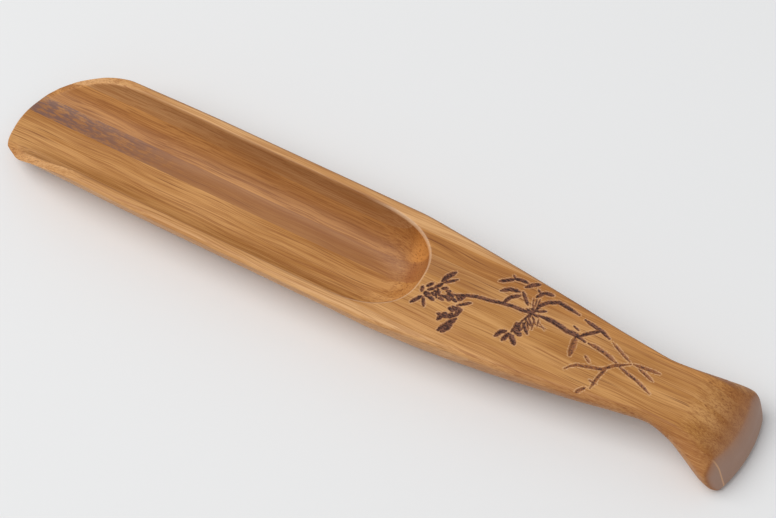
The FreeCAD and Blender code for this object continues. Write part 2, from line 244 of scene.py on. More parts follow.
def flank_chain(place, side):
    """Y and Z from the top's edge over the shoulder and down the flank, one place for each point."""
    lean = eased(FLANK_LEAN_SHARES, place / LENGTH)
    edge, widest = top_half_width(place) - SHOULDER_ROUND, widest_half_width(place)
    top = HEIGHT - top_drop(place)
    middle = HEIGHT - widest_drop(place) - top_drop(place) / 2
    bottom, belly = underside(place), belly_half_width(place)
    upper, lower = SHOULDER_HANDLE_SHARE * (top - middle), FLANK_HANDLE_SHARE * (middle - bottom)
    outward, inward = SHOULDER_HANDLE_SHARE * (widest - edge), BELLY_HANDLE_SHARE * (widest - belly)
    shoulder = ([edge, edge + outward, widest + lean * upper, widest],
                [top, top, middle + upper, middle])
    flank = ([widest, widest - lean * lower, belly + inward, belly],
             [middle, middle - lower, bottom, bottom])
    shoulder_part = (slice(0, SHOULDER_STEPS), np.linspace(0, 1, SHOULDER_STEPS), shoulder)
    flank_part = (slice(SHOULDER_STEPS, None), np.linspace(0, 1, FLANK_STEPS)[1:], flank)
    y, z = np.empty_like(place), np.empty_like(place)
    for part, t, curves in (shoulder_part, flank_part):
        for row, poles in zip((y, z), curves):
            row[part] = bezier([pole[part] for pole in poles], t)
    return side_shift(place) + side * y, np.maximum(z, 0)


CHAIN_POINTS = SHOULDER_STEPS + FLANK_STEPS - 1
sample_y = flank_chain(np.full(CHAIN_POINTS, MID_BOWL), 1)[0]
print("widest point of the bowl in mm:", round(float(sample_y.max()), 2))

# %% [markdown]
# The gouge takes out the trough. A Boolean with a solid of that shape could cut it,
# but as a height over the plan it can be read off at any point and given a worn rim.
# Its closed end is a squarish half oval: the inset from its rim is found by halving.

# %% The trough and its soft rim
RIM_ROUND = 0.65
NO_CUT = HEIGHT + 3.0
HALVINGS = 22
FURTHEST_OUTSIDE = -3.0
DEEPEST_INSIDE = TROUGH_HALF_WIDTH - 0.5


def trough_inset(place, y):
    """How far inside the trough's rim a point lies in plan; negative outside it."""
    across = TROUGH_HALF_WIDTH - np.abs(y)
    forward = np.maximum(place - TROUGH_STRAIGHT_TO, 0)
    low, high = np.full_like(across, FURTHEST_OUTSIDE), np.full_like(across, DEEPEST_INSIDE)
    for _ in range(HALVINGS):
        middle = (low + high) / 2
        reach = TROUGH_END_LENGTH - TROUGH_END_LEAN_SHARE * middle
        half = TROUGH_HALF_WIDTH - middle
        inside = (forward / reach) ** TROUGH_END_POWER + (np.abs(y) / half) ** TROUGH_END_POWER < 1
        low, high = np.where(inside, middle, low), np.where(inside, high, middle)
    return np.where(forward > 0, low, across)


def trough_height(place, y):
    """Height of the gouged surface, with the rim's rounding and with no cut outside it."""
    inset = trough_inset(place, y)
    wall = TROUGH_HALF_WIDTH - TROUGH_FLOOR_HALF_WIDTH
    steep = np.clip(1 - inset / wall, 0, 1)
    gouged = HEIGHT - TROUGH_DEPTH * np.sqrt(1 - steep**2)
    over = np.clip(RIM_ROUND + inset, 0, RIM_ROUND)
    rounded = HEIGHT - (RIM_ROUND - np.sqrt(RIM_ROUND**2 - over**2))
    outside = np.where(inset > -RIM_ROUND, rounded, NO_CUT)
    return np.where(inset > 0, np.minimum(gouged, HEIGHT - RIM_ROUND), outside)


middle_place, middle_y = np.array([MID_BOWL]), np.array([0.0])
print("trough floor in mm:", round(float(trough_height(middle_place, middle_y)[0]), 2))

# %% [markdown]
# The knife cuts the trough's walls back towards the lip, in a slope with a rounded foot and brow.
# It is a height over the plan as well, so the top of the scoop is simply the lowest of the two,
# eased where they cross.

# %% The cut-back and the soft crease
CREASE_SOFTNESS = 0.35
ON_THE_LAND = np.array([1.0])


def cut_back_height(place):
    """Height of the slope with a rounded foot and brow that takes the walls down to the lip."""
    half_turn = math.tan(CUT_BACK_ANGLE / 2)
    foot_height = HEIGHT - TROUGH_DEPTH + LIP_LAND_ABOVE_FLOOR
    foot_start = CUT_BACK_FROM - CUT_BACK_FOOT_RADIUS * half_turn
    foot_end = foot_start + CUT_BACK_FOOT_RADIUS * math.sin(CUT_BACK_ANGLE)
    brow_end = CUT_BACK_FROM + (HEIGHT - foot_height) / math.tan(CUT_BACK_ANGLE)
    brow_end += CUT_BACK_BROW_RADIUS * half_turn
    brow_start = brow_end - CUT_BACK_BROW_RADIUS * math.sin(CUT_BACK_ANGLE)
    along = np.clip(place - foot_start, 0, foot_end - foot_start)
    foot = foot_height + CUT_BACK_FOOT_RADIUS - np.sqrt(CUT_BACK_FOOT_RADIUS**2 - along**2)
    slope = foot_height + (place - CUT_BACK_FROM) * math.tan(CUT_BACK_ANGLE)
    along = np.clip(brow_end - place, 0, brow_end - brow_start)
    brow = HEIGHT - CUT_BACK_BROW_RADIUS + np.sqrt(CUT_BACK_BROW_RADIUS**2 - along**2)
    height = np.where(place < foot_end, foot, np.where(place < brow_start, slope, brow))
    return np.where(place < brow_end, height, NO_CUT)


def softly_lowest(a, b):
    """The lower of two heights, eased where they cross."""
    h = np.clip(0.5 + 0.5 * (b - a) / CREASE_SOFTNESS, 0, 1)
    return b * (1 - h) + a * h - CREASE_SOFTNESS * h * (1 - h)


print("lip land in mm:", round(float(cut_back_height(ON_THE_LAND)[0]), 2))

# %% [markdown]
# Both ends are bowed in plan, and the heel's end leans as well.
# Straight sections would meet such ends in steps, so the sections bend over as they near an end:
# the first one follows the lip's front edge and the last one the sanded end of the heel.

# %% Sections that bend with the ends
LIP_BEND_LENGTH = 30.0
HEEL_BEND_LENGTH = 22.0
CORNER_LIMIT = 0.999 * HEEL_CORNER_ROUND


def lip_sag(y):
    """How far the lip's front edge lies behind its foremost point."""
    return LIP_FRONT_RADIUS - np.sqrt(np.maximum(LIP_FRONT_RADIUS**2 - (y + LIP_SIDE_SHIFT) ** 2, 0))


def heel_sag(y):
    """How far the heel's end lies before its rearmost point, at the table."""
    centre_y = HEEL_SIDE_SHIFT + HEEL_END_SIDE_SHIFT
    bow = HEEL_END_RADIUS - np.sqrt(HEEL_END_RADIUS**2 - (y - centre_y) ** 2)
    half = HEEL_TOP_HALF_WIDTH + HEEL_FLARE + HEEL_SIDE_SPARE - HEEL_CORNER_ROUND
    inner = HEEL_END_RADIUS - HEEL_CORNER_ROUND
    for side in (-1, 1):
        corner_y = HEEL_SIDE_SHIFT + side * half
        corner_x = HEEL_END_RADIUS - math.sqrt(inner**2 - (corner_y - centre_y) ** 2)
        meets_y = centre_y + (corner_y - centre_y) * HEEL_END_RADIUS / inner
        spread = np.clip(np.abs(y - corner_y), 0, CORNER_LIMIT)
        corner = corner_x - np.sqrt(HEEL_CORNER_ROUND**2 - spread**2)
        bow = np.where(side * (y - meets_y) > 0, corner, bow)
    return bow / math.cos(HEEL_END_LEAN)


def bent_place(station, y, z):
    """Where along the scoop a point of a bent section really lies."""
    near_lip = np.clip(1 - station / LIP_BEND_LENGTH, 0, 1) ** 2
    near_heel = np.clip((station - LENGTH + HEEL_BEND_LENGTH) / HEEL_BEND_LENGTH, 0, 1) ** 2
    return station + near_lip * lip_sag(y) - near_heel * (heel_sag(y) + z * math.tan(HEEL_END_LEAN))


BENDING_PASSES = 14


def clipped_chain(station, side):
    """One side of a bent section from the carved top's edge down to the belly, as rows of place, Y, Z."""
    place = np.full(CHAIN_POINTS, float(station))
    bends = station < LIP_BEND_LENGTH or station > LENGTH - HEEL_BEND_LENGTH
    for _ in range(BENDING_PASSES if bends else 1):
        y, z = flank_chain(place, side)
        place = bent_place(station, y, z)
    chain = np.stack([place, y, z], 1)
    over = chain[:, 2] - cut_back_height(chain[:, 0])
    if over[0] <= 0:
        return chain
    last = int(np.nonzero(over > 0)[0][-1])
    share = over[last] / (over[last] - over[last + 1])
    start = chain[last] + share * (chain[last + 1] - chain[last])
    return np.vstack([start, chain[last + 1:]])


HEEL_NEAR_CORNER_Y = np.array([-11.0])
print("heel's near corner lies", round(float(heel_sag(HEEL_NEAR_CORNER_Y)[0]), 2), "mm forward")

# %% [markdown]
# Fine sandpaper rounds every crease of the real scoop, and the two ends most of all.
# A bevel would need each crease found first. A section is a closed ring, so here it is walked
# at even steps and smoothed along the way, and at the ends it also shrinks along a quarter circle.

# %% Sanding and drawing in a ring
SANDED_REACH = 0.22
NEXT_TO_NOTHING = 1e-6
ROOM_ENOUGH = 1e6


def resampled(points, count, span=None):
    """Points at even steps along a path, or along its part between two values of Y."""
    steps = np.linalg.norm(np.diff(points, axis=0), axis=1)
    along = np.concatenate([[0], np.cumsum(steps)])
    ends = np.interp(span, points[:, 1], along) if span else (0, along[-1])
    wanted = np.linspace(ends[0], ends[1], count)
    return np.stack([np.interp(wanted, along, column) for column in points.T], 1)


def sanded(ring):
    """A closed ring smoothed along its length, so that its creases are rounded."""
    length = np.linalg.norm(np.diff(ring, axis=0, append=ring[:1]), axis=1).sum()
    turns = np.fft.fftfreq(len(ring)) * len(ring) / length
    keep = np.exp(-2 * (math.pi * turns * SANDED_REACH) ** 2)
    return np.fft.ifft(np.fft.fft(ring, axis=0) * keep[:, None], axis=0).real


def drawn_in(station, ring, inset):
    """A closed ring drawn in by an inset; points with less room than that on their inside are left out."""
    ahead = np.roll(ring, -1, 0)[:, 1:] - np.roll(ring, 1, 0)[:, 1:]
    inward = np.stack([ahead[:, 1], -ahead[:, 0]], 1) / np.hypot(ahead[:, 0], ahead[:, 1])[:, None]
    apart = ring[None, :, 1:] - ring[:, None, 1:]
    facing = np.einsum("ijk,ik->ij", apart, inward)
    room = (apart**2).sum(2) / (2 * np.maximum(facing, NEXT_TO_NOTHING))
    room = np.where(facing > NEXT_TO_NOTHING, room, ROOM_ENOUGH).min(1)
    moved = ring.copy()
    moved[:, 1:] += inset * inward
    kept = moved[room >= inset]
    kept[:, 0] = bent_place(station, kept[:, 1], kept[:, 2])
    return resampled(np.vstack([kept, kept[:1]]), len(ring) + 1)[:-1]


print("creases are sanded over about mm:", SANDED_REACH)

# %% [markdown]
# The lip's near corner is fuller and rounder in plan than the far one, as hand work leaves it.
# The whole lip could be drawn as one curve, but a small bulge that fades out
# within a centimetre keeps the rest of the bowl as it is.

# %% The lip's near corner
LIP_CORNER_LENGTH = 10.0
LIP_CORNER_FROM = 3.2
LIP_CORNER_WIDTH = 5.9
LIP_CORNER_FULLNESS = 1.5
LIP_CORNER_START_SHARE = 0.8
LIP_CORNER_FULL_BY = 1.2
LIP_TURN_FROM = 5.0
LIP_TURN_WIDTH = 5.5
LIP_TURN = 0.8


def full_corner(station, ring):
    """A ring with the lip's near corner fuller and rounded in plan, as sanding leaves it."""
    left = np.clip(1 - station / LIP_CORNER_LENGTH, 0, 1)
    growth = (1 - LIP_CORNER_START_SHARE) * min(station / LIP_CORNER_FULL_BY, 1)
    fade = left**2 * (3 - 2 * left) * (LIP_CORNER_START_SHARE + growth)
    reach = np.clip((-ring[:, 1] - LIP_CORNER_FROM) / LIP_CORNER_WIDTH, 0, 1)
    ring[:, 1] -= LIP_CORNER_FULLNESS * fade * reach**2 * (3 - 2 * reach)
    turn = np.clip((-ring[:, 1] - LIP_TURN_FROM) / LIP_TURN_WIDTH, 0, 1)
    ring[:, 0] += LIP_TURN * left**3 * turn**2
    return ring


print("the near corner is fuller by up to mm:", LIP_CORNER_FULLNESS)

# %% [markdown]
# A whole section runs along the carved top, down the far flank, over the belly and up again.
# Its top and bottom are handed on apart, because the strips are cut from them later.

# %% One ring of the carved surface
TOP_SAMPLES = 1300
TOP_PASSES = 3
RING_SAMPLES = 1500


def carved_top(station, near_edge, far_edge):
    """The top of a bent section between its two edges."""
    y = np.linspace(near_edge[1], far_edge[1], TOP_SAMPLES)
    z = np.full(TOP_SAMPLES, HEIGHT)
    for _ in range(TOP_PASSES):
        place = bent_place(station, y, z)
        level = HEIGHT - top_drop(place)
        z = np.minimum(level, softly_lowest(cut_back_height(place), trough_height(place, y)))
    return np.stack([place, y, z], 1)


def ring_at(station, inset):
    """A sanded ring, drawn in by an inset, as (top, bottom) from its near edge to its far edge."""
    near, far = clipped_chain(station, -1), clipped_chain(station, 1)
    top = carved_top(station, near[0], far[0])
    ring = np.vstack([top, far[1:], near[:0:-1]])
    closed = resampled(np.vstack([ring, ring[:1]]), RING_SAMPLES + 1)[:-1]
    closed = sanded(closed)
    if inset:
        closed = drawn_in(station, closed, inset)
    closed = full_corner(station, closed)
    closed[:, 2] = np.maximum(closed[:, 2], 0)
    first = int(np.argmin(closed[:, 1]))
    closed = np.roll(closed, -first, 0)
    last = int(np.argmax(closed[:, 1]))
    bottom = np.vstack([closed[last:], closed[:1]])[::-1]
    return closed[: last + 1], bottom


TEST_STATION = 40.0
test_top = ring_at(TEST_STATION, 0.0)[0]
print("ring at", TEST_STATION, "mm: wall top at", round(float(test_top[:, 2].max()), 2))

# %% [markdown]
# The rings are laid closer together where the branch is cut and where the trough's end wall drops,
# and closest of all at the two rounded ends.

# %% All the rings
LIP_EDGE_ROUND = 0.45
HEEL_EDGE_ROUND = 1.9
END_TURNS = 9
FINE_FROM, FINE_TO = 86.0, 163.0
FINE_STEP, PLAIN_STEP = 0.16, 0.4


def end_steps(size):
    """Pairs of distance from an end and inset of the ring there, along a quarter circle."""
    turns = np.linspace(0, math.pi / 2, END_TURNS)
    return [(size * (1 - math.cos(turn)), size * (1 - math.sin(turn))) for turn in turns]


rings = {}
for distance, inset in end_steps(LIP_EDGE_ROUND):
    rings[distance] = ring_at(distance, inset)
for distance, inset in end_steps(HEEL_EDGE_ROUND):
    rings[LENGTH - distance] = ring_at(LENGTH - distance, inset)
between = np.concatenate([
    np.arange(LIP_EDGE_ROUND + PLAIN_STEP, FINE_FROM, PLAIN_STEP),
    np.arange(FINE_FROM, FINE_TO, FINE_STEP),
    np.arange(FINE_TO, LENGTH - HEEL_EDGE_ROUND, PLAIN_STEP),
])
for station in between:
    rings[float(station)] = ring_at(float(station), 0.0)
stations = sorted(rings)
print("rings:", len(stations))

# %% [markdown]
# Each strip is what lies between two glue planes, so its mesh is cut from the rings at those planes.
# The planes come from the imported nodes, which keeps the two models together.
# A strip thins out to nothing where the outside crosses its glue plane.
# Every strip is one closed grid: carved top, glue face, underside, glue face, and a cap at each end.

# %% Where each strip lies
OPEN_SIDE = 99.0
glue = [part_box(name)[1][1] / MM for name in
        ("near_edge_strip", "near_wall_strip", "near_floor_strip", "centre_strip", "dark_strip")]
glue.append(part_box("far_edge_strip")[0][1] / MM)
strip_bounds = {
    "near_edge_strip": (0, NECK_AT, -OPEN_SIDE, glue[0]),
    "near_wall_strip": (0, NECK_AT, glue[0], glue[1]),
    "near_heel_block": (NECK_AT, LENGTH, -OPEN_SIDE, glue[1]),
    "near_floor_strip": (0, LENGTH, glue[1], glue[2]),
    "centre_strip": (0, LENGTH, glue[2], glue[3]),
    "dark_strip": (0, LENGTH, glue[3], glue[4]),
    "far_wall_strip": (0, LENGTH, glue[4], glue[5]),
    "far_edge_strip": (0, NECK_AT, glue[5], OPEN_SIDE),
}


def far_limit(far, station):
    """A strip's far side; past the neck the far wall strip reaches to the outside."""
    return OPEN_SIDE if far == glue[5] and station > NECK_AT else far


print("glue planes in mm:", [round(plane, 2) for plane in glue])

# %% [markdown]
# A strip could be cut from the whole body with a Boolean, but that leaves long thin triangles
# along the glue faces, which shade badly. Rows of evenly spaced points between the two planes
# give clean quads instead.

# %% Rows and caps of a strip
COLUMNS = 37
LEVELS = 5
THINNEST = 0.04


def strip_row(station, near, far):
    """One closed row of a strip's grid, and its top and bottom, or None where the strip is absent."""
    top, bottom = rings[station]
    span = (max(near, top[0, 1]), min(far, top[-1, 1]))
    if span[1] - span[0] < THINNEST:
        return None
    above, below = resampled(top, COLUMNS, span), resampled(bottom, COLUMNS, span)
    shares = np.linspace(0, 1, LEVELS + 1)[1:-1, None]
    far_side = above[-1] + shares * (below[-1] - above[-1])
    near_side = below[0] + shares * (above[0] - below[0])
    return np.vstack([above, far_side, below[::-1], near_side]), above, below


def cap_grid(above, below):
    """Points that fill an end of a strip, from its top edge to its bottom edge."""
    shares = np.linspace(0, 1, LEVELS + 1)[:, None, None]
    return above + shares * (below - above)


print("points in a row of a strip:", 2 * (COLUMNS + LEVELS - 1))

# %% [markdown]
# Quads join each row to the next. Blender could bridge the rows as loops,
# but the corners of a grid can simply be counted, which is exact and quick.

# %% Points and quads of a strip
END_ZONE = 1.0


def grid_faces(rows, columns, closed, start):
    """Corner numbers of the quads of a grid, and whether its last column meets its first."""
    across = columns if closed else columns - 1
    i, j = np.meshgrid(np.arange(rows - 1), np.arange(across), indexing="ij")
    after = (j + 1) % columns
    corners = [i * columns + j, (i + 1) * columns + j, (i + 1) * columns + after, i * columns + after]
    return np.stack(corners, -1).reshape(-1, 4) + start, j.ravel()


def strip_arrays(start, stop, near, far):
    """Points, quads and glue marks of a strip."""
    rows, first, last = [], None, None
    for station in stations:
        inside = start <= station <= stop
        found = strip_row(station, near, far_limit(far, station)) if inside else None
        if found:
            rows.append(found[0])
            last = (station, found[1], found[2])
            first = first or last
    points = np.vstack(rows)
    faces, column = grid_faces(len(rows), len(rows[0]), True, 0)
    on_top = column < COLUMNS - 1
    below_start = COLUMNS + LEVELS - 2
    on_bottom = (column >= below_start + 1) & (column < below_start + COLUMNS)
    marks = np.where(on_top | on_bottom, 0, 1)
    for end, flip in ((first, False), (last, True)):
        grid = cap_grid(end[1], end[2])
        quads, _ = grid_faces(LEVELS + 1, COLUMNS, False, len(points))
        faces = np.vstack([faces, quads[:, ::-1] if flip else quads])
        outer_end = end[0] < END_ZONE or end[0] > LENGTH - END_ZONE
        marks = np.concatenate([marks, np.full(len(quads), 0 if outer_end else 1)])
        points = np.vstack([points, grid.reshape(-1, 3)])
    return points, faces, marks


print("quads across the top of a strip:", COLUMNS - 1)

# %% [markdown]
# The points become a closed mesh, and points that fall together are merged.
# The carved surface is smooth, but the edges along the glue faces stay sharp, so the glue lines read.

# %% The mesh of one strip
MERGE_REACH = 2e-8


def strip_mesh(name, bounds):
    """A closed mesh of a strip in metres, smooth but for sharp edges along its glue faces."""
    points, faces, marks = strip_arrays(*bounds)
    points = points - [LENGTH / 2, 0, 0]
    mesh = bpy.data.meshes.new(name + "_carved")
    mesh.from_pydata((points * MM).tolist(), [], faces.tolist())
    mesh.polygons.foreach_set("material_index", marks.astype(np.int32))
    work = bmesh.new()
    work.from_mesh(mesh)
    bmesh.ops.remove_doubles(work, verts=work.verts, dist=MERGE_REACH)
    bmesh.ops.dissolve_degenerate(work, edges=work.edges, dist=MERGE_REACH)
    bmesh.ops.recalc_face_normals(work, faces=work.faces)
    for edge in work.edges:
        edge.smooth = len({face.material_index for face in edge.link_faces}) == 1
    for face in work.faces:
        face.smooth = True
        face.material_index = 0
    holes = sum(1 for edge in work.edges if len(edge.link_faces) != 2)
    work.to_mesh(mesh)
    volume = work.calc_volume(signed=True) / MM**3
    work.free()
    print(name, "quads", len(mesh.polygons), "open edges", holes, "volume in mm3", round(volume))
    return mesh


strip_meshes = {name: strip_mesh(name, bounds) for name, bounds in strip_bounds.items()}

# %% [markdown]
# The camera stands where the photograph's did: a long lens, a little to the near side of the handle.
# Its place is set first, because the branch on the handle was traced from the photograph:
# a traced point is carried along the camera's sight line down to the scoop's flat top.

# %% The camera
IMAGE_WIDTH, IMAGE_HEIGHT = 776, 518
SENSOR_MM = 36.0
FOCAL_PIXELS = 2910.0
CAMERA_AZIMUTH = math.radians(28.89)
CAMERA_ELEVATION = math.radians(57.96)
CAMERA_DISTANCE = 619.0
CAMERA_TARGET = np.array([3.34, 0.54, HEIGHT])
NEAREST_SEEN = 0.05
right = np.array([math.cos(CAMERA_AZIMUTH), math.sin(CAMERA_AZIMUTH), 0])
up = np.array([-math.sin(CAMERA_AZIMUTH) * math.sin(CAMERA_ELEVATION),
               math.cos(CAMERA_AZIMUTH) * math.sin(CAMERA_ELEVATION), math.cos(CAMERA_ELEVATION)])
backward = np.cross(right, up)
camera_place = CAMERA_TARGET + CAMERA_DISTANCE * backward

camera = bpy.data.objects.new("camera", bpy.data.cameras.new("camera"))
camera.data.sensor_width = SENSOR_MM
camera.data.lens = FOCAL_PIXELS * SENSOR_MM / IMAGE_WIDTH
camera.data.clip_start = NEAREST_SEEN
turn = Matrix((right, up, backward)).transposed().to_4x4()
camera.matrix_world = Matrix.Translation(Vector(camera_place * MM)) @ turn
bpy.context.scene.collection.objects.link(camera)
bpy.context.scene.camera = camera


def on_top(pixels):
    """X and Y in mm of pixels of the photograph, carried down to the scoop's flat top."""
    pixels = np.array(pixels, float)
    sideways = (pixels[:, 0] - IMAGE_WIDTH / 2) / FOCAL_PIXELS
    upward = (IMAGE_HEIGHT / 2 - pixels[:, 1]) / FOCAL_PIXELS
    sight = -backward + sideways[:, None] * right + upward[:, None] * up
    reach = (HEIGHT - camera_place[2]) / sight[:, 2]
    return (camera_place + reach[:, None] * sight)[:, :2]


MIDDLE_PIXEL = (388, 259)
print("middle of the picture lies at", on_top([MIDDLE_PIXEL]).round(2))

# %% [markdown]
# The branch is a common ornament on such scoops: a stem with twigs, buds and leaves,
# cut in with a small V tool and then burnt dark with a hot needle.
# Each stroke is a chain of traced pixels with the half width of the cut in millimetres.
# A stroke starts and ends in a point, as a cut by hand does.

# %% The strokes of the branch
STEM = [(448.2, 292.9), (455.3, 295), (466, 295.4), (477.6, 296.8), (489.4, 300.3),
        (502.4, 303.2), (513, 306.2), (522.4, 310.3), (532, 313.2), (541.2, 316.8)]
STEM_END = [(539, 315.6), (551.8, 320.9), (559.4, 325.6), (567, 331), (576, 334.8), (585, 341.8)]
ARCH = [(534, 312.5), (540, 305.6), (548.2, 302.6), (559.4, 302.6), (567, 307), (579.5, 315)]
UPPER_BRANCH = [(580, 336), (590, 333.2), (601, 331.4)]
UPPER_TWIG = [(585.6, 320), (590, 323.4), (597, 328), (603, 332), (609.5, 339)]
STUB = [(575.5, 337), (573, 345), (569.6, 355)]
LOWER_TWIG = [(564.4, 368.6), (570, 366), (576, 365), (587, 366.6), (602, 369.3), (614, 365.7), (631, 364.4)]
MIDDLE_TWIG = [(588.6, 343.4), (594, 346), (602, 351), (609, 356.4), (616, 362.6)]
SHORT_TWIG = [(613, 342.6), (620.4, 351.4), (630, 362)]
END_TWIG = [(634, 364.6), (647, 369.3), (660, 374)]
LONG_TWIG = [(618, 365.8), (627.5, 373.8), (637, 381), (649.4, 393.8)]
SIDE_TWIG = [(639, 369), (645, 374), (652.6, 381.2)]
NEAR_TWIG = [(607, 368), (598, 377), (590, 388)]
NEAR_BUD = [(575, 392), (585, 387.6)]
NEAR_THORN = [(589, 380), (596, 384)]
DOT_LEAF = [(585, 355.4), (589.4, 362.6)]
UPPER_THORN = [(574, 326), (579, 330.6)]
wood_strokes = [
    (STEM, 0.38), (STEM_END, 0.52), (ARCH, 0.42), (UPPER_BRANCH, 0.4), (UPPER_TWIG, 0.38), (STUB, 0.6),
    (LOWER_TWIG, 0.36), (MIDDLE_TWIG, 0.42), (SHORT_TWIG, 0.28), (END_TWIG, 0.34), (LONG_TWIG, 0.34),
    (SIDE_TWIG, 0.28), (NEAR_TWIG, 0.34), (NEAR_BUD, 0.36), (NEAR_THORN, 0.2), (DOT_LEAF, 0.26),
    (UPPER_THORN, 0.2),
]
lightly_burnt = [STUB, LOWER_TWIG, MIDDLE_TWIG, SHORT_TWIG, END_TWIG, LONG_TWIG, SIDE_TWIG,
                 NEAR_TWIG, NEAR_BUD, NEAR_THORN, DOT_LEAF]
print("strokes of the branch:", len(wood_strokes), "of which lightly burnt:", len(lightly_burnt))

# %% [markdown]
# Leaves are short fat strokes, blossoms are clusters of them pressed in from all sides,
# and the feathery tuft by the fork is drawn with the tip of the needle.

# %% The strokes of its leaves and blossoms
top_leaves = [
    ([(442.4, 281), (448, 276.4), (456, 272.4)], 0.52), ([(443.5, 282.8), (457.8, 279.8)], 0.32),
    ([(499.6, 281), (507, 280.4), (515.3, 279.1)], 0.38), ([(514, 275.2), (516, 279)], 0.2),
    ([(515, 279), (521.8, 280.2), (528, 283)], 0.38), ([(526, 287.2), (533, 285.2), (540.6, 284.6)], 0.42),
    ([(501.2, 290.6), (510, 289.2), (520, 291.6)], 0.44),
    ([(503.6, 302.4), (510.6, 297.2), (520.6, 295.6)], 0.42),
    ([(523.2, 292), (525.5, 298.5), (528, 305)], 0.34), ([(536.6, 297.2), (545, 293.2)], 0.36),
    ([(544.4, 292.8), (553.4, 295.6)], 0.4), ([(538.4, 289.8), (541.8, 294.2)], 0.22),
    ([(537.2, 311.6), (546.4, 311.4)], 0.28), ([(534, 298.4), (532.8, 307)], 0.13),
    ([(537.2, 299), (535.2, 307)], 0.13), ([(540.4, 299.6), (537.6, 305.8)], 0.13),
]
first_blossom = [
    ([(410.6, 301.8), (421.6, 296)], 0.4), ([(423, 296.6), (423.6, 306)], 0.34),
    ([(421.6, 291), (423, 285.8)], 0.36), ([(427, 286), (433.4, 283)], 0.36),
    ([(428, 289.4), (434.4, 288.4)], 0.34), ([(434.8, 287.8), (442.8, 283.6)], 0.4),
    ([(424.4, 292), (427, 296.4)], 0.34), ([(428.4, 296), (433.4, 300)], 0.42),
    ([(431.8, 292.2), (434.6, 295.4)], 0.3), ([(438.2, 288.8), (438.8, 295.4)], 0.3),
    ([(440, 295.4), (446, 296.8)], 0.34), ([(442, 288.6), (448, 288)], 0.34),
    ([(446.4, 291), (450.6, 291.6)], 0.32), ([(446.4, 296), (449.6, 300.2)], 0.5),
    ([(436, 291), (436.4, 297.8)], 0.22), ([(458.6, 300), (464.4, 295.6)], 0.5),
    ([(457, 296.4), (461, 300)], 0.36), ([(425.4, 291.4), (430.4, 294)], 0.3),
    ([(433.6, 291), (440, 291.8)], 0.26), ([(438.6, 297.6), (443.4, 300)], 0.3),
    ([(447.4, 294), (453.4, 296.6)], 0.34), ([(451.2, 298.2), (456.4, 301.6)], 0.36),
]
second_blossom = [
    ([(457.2, 305.2), (471, 303)], 0.34), ([(449, 307.6), (452.8, 311.2)], 0.4),
    ([(454, 316.4), (461.6, 309.4)], 0.42), ([(437.4, 319.4), (445, 312.8)], 0.46),
    ([(437.4, 313.2), (446.6, 317.4)], 0.42), ([(445.6, 316.4), (452.4, 313.4)], 0.36),
    ([(438, 330), (446, 325), (455.6, 318.8)], 0.6), ([(446.6, 329.6), (451, 324)], 0.44),
    ([(456, 307), (460, 309)], 0.3), ([(444, 312.4), (449.6, 317.6)], 0.36),
    ([(449.4, 318), (458, 312.6)], 0.32), ([(441, 331.4), (449.4, 326.4)], 0.5),
    ([(452.6, 306), (457, 311.4)], 0.34),
]
feather_leaves = [
    ([(495, 335.8), (500.5, 331.6), (506.2, 330.9)], 0.46), ([(502, 340), (509, 333.4)], 0.48),
    ([(510.6, 334.6), (514.2, 344.2)], 0.54), ([(514.4, 330), (520.2, 335.2)], 0.54),
    ([(516.6, 322.8), (514.8, 331)], 0.44), ([(519, 325), (519.4, 331)], 0.34),
    ([(522.8, 323), (527.2, 334)], 0.32), ([(524.6, 318.4), (530.6, 326)], 0.18),
    ([(528.2, 317), (532, 326)], 0.18), ([(532.2, 315.6), (535.4, 324.6)], 0.18),
    ([(526.4, 318.2), (528.4, 330)], 0.16), ([(537.6, 320.9), (544.7, 330.3)], 0.1),
    ([(511.4, 331.6), (520.6, 322.6)], 0.42), ([(526, 321), (521.4, 330)], 0.18),
    ([(534.6, 319), (531.4, 329.6)], 0.15), ([(539, 318.6), (536.8, 327)], 0.12),
    ([(536.4, 325), (546, 329)], 0.1),
]
crossing = [
    ([(526.5, 308.5), (538, 317.4)], 0.3), ([(524.8, 318.6), (538, 309)], 0.3),
    ([(529.5, 318.4), (534.4, 305.4)], 0.22), ([(530, 308.4), (541, 312.6)], 0.22),
    ([(531.6, 313), (519.6, 323)], 0.22),
]
strokes = wood_strokes + top_leaves + first_blossom + second_blossom + feather_leaves + crossing
print("strokes in all:", len(strokes))

# %% [markdown]
# A stroke could be a thin solid cut away with a Boolean, but then the burnt edge, the brown halo
# and the torn fibres would have no shape to follow.
# So each point of the top learns how near it is to a stroke.

# %% How close each point of the top is to a stroke
STROKE_STEPS = 9
TIP_STEEPNESS = 5
TIP_WIDTH_SHARE = 0.3
TIP_POWER = 0.6
BURN_REACH = 1.5
BURN_POWER = 0.7
HALO_REACH = 0.6
HALO_STRENGTH = 0.3
HALO_POWER = 1.5
TORN_REACH = 0.17
LIGHT_BURN = 0.64


def stroke_path(pixels, half_width):
    """A stroke on the flat top as points at even steps, with the half width at each."""
    flat = on_top(pixels)
    points = resampled(flat, STROKE_STEPS * (len(pixels) - 1) + 1)
    share = np.linspace(0, 1, len(points))
    swell = np.clip(np.minimum(share, 1 - share) * TIP_STEEPNESS, TIP_WIDTH_SHARE, 1) ** TIP_POWER
    return points, half_width * swell


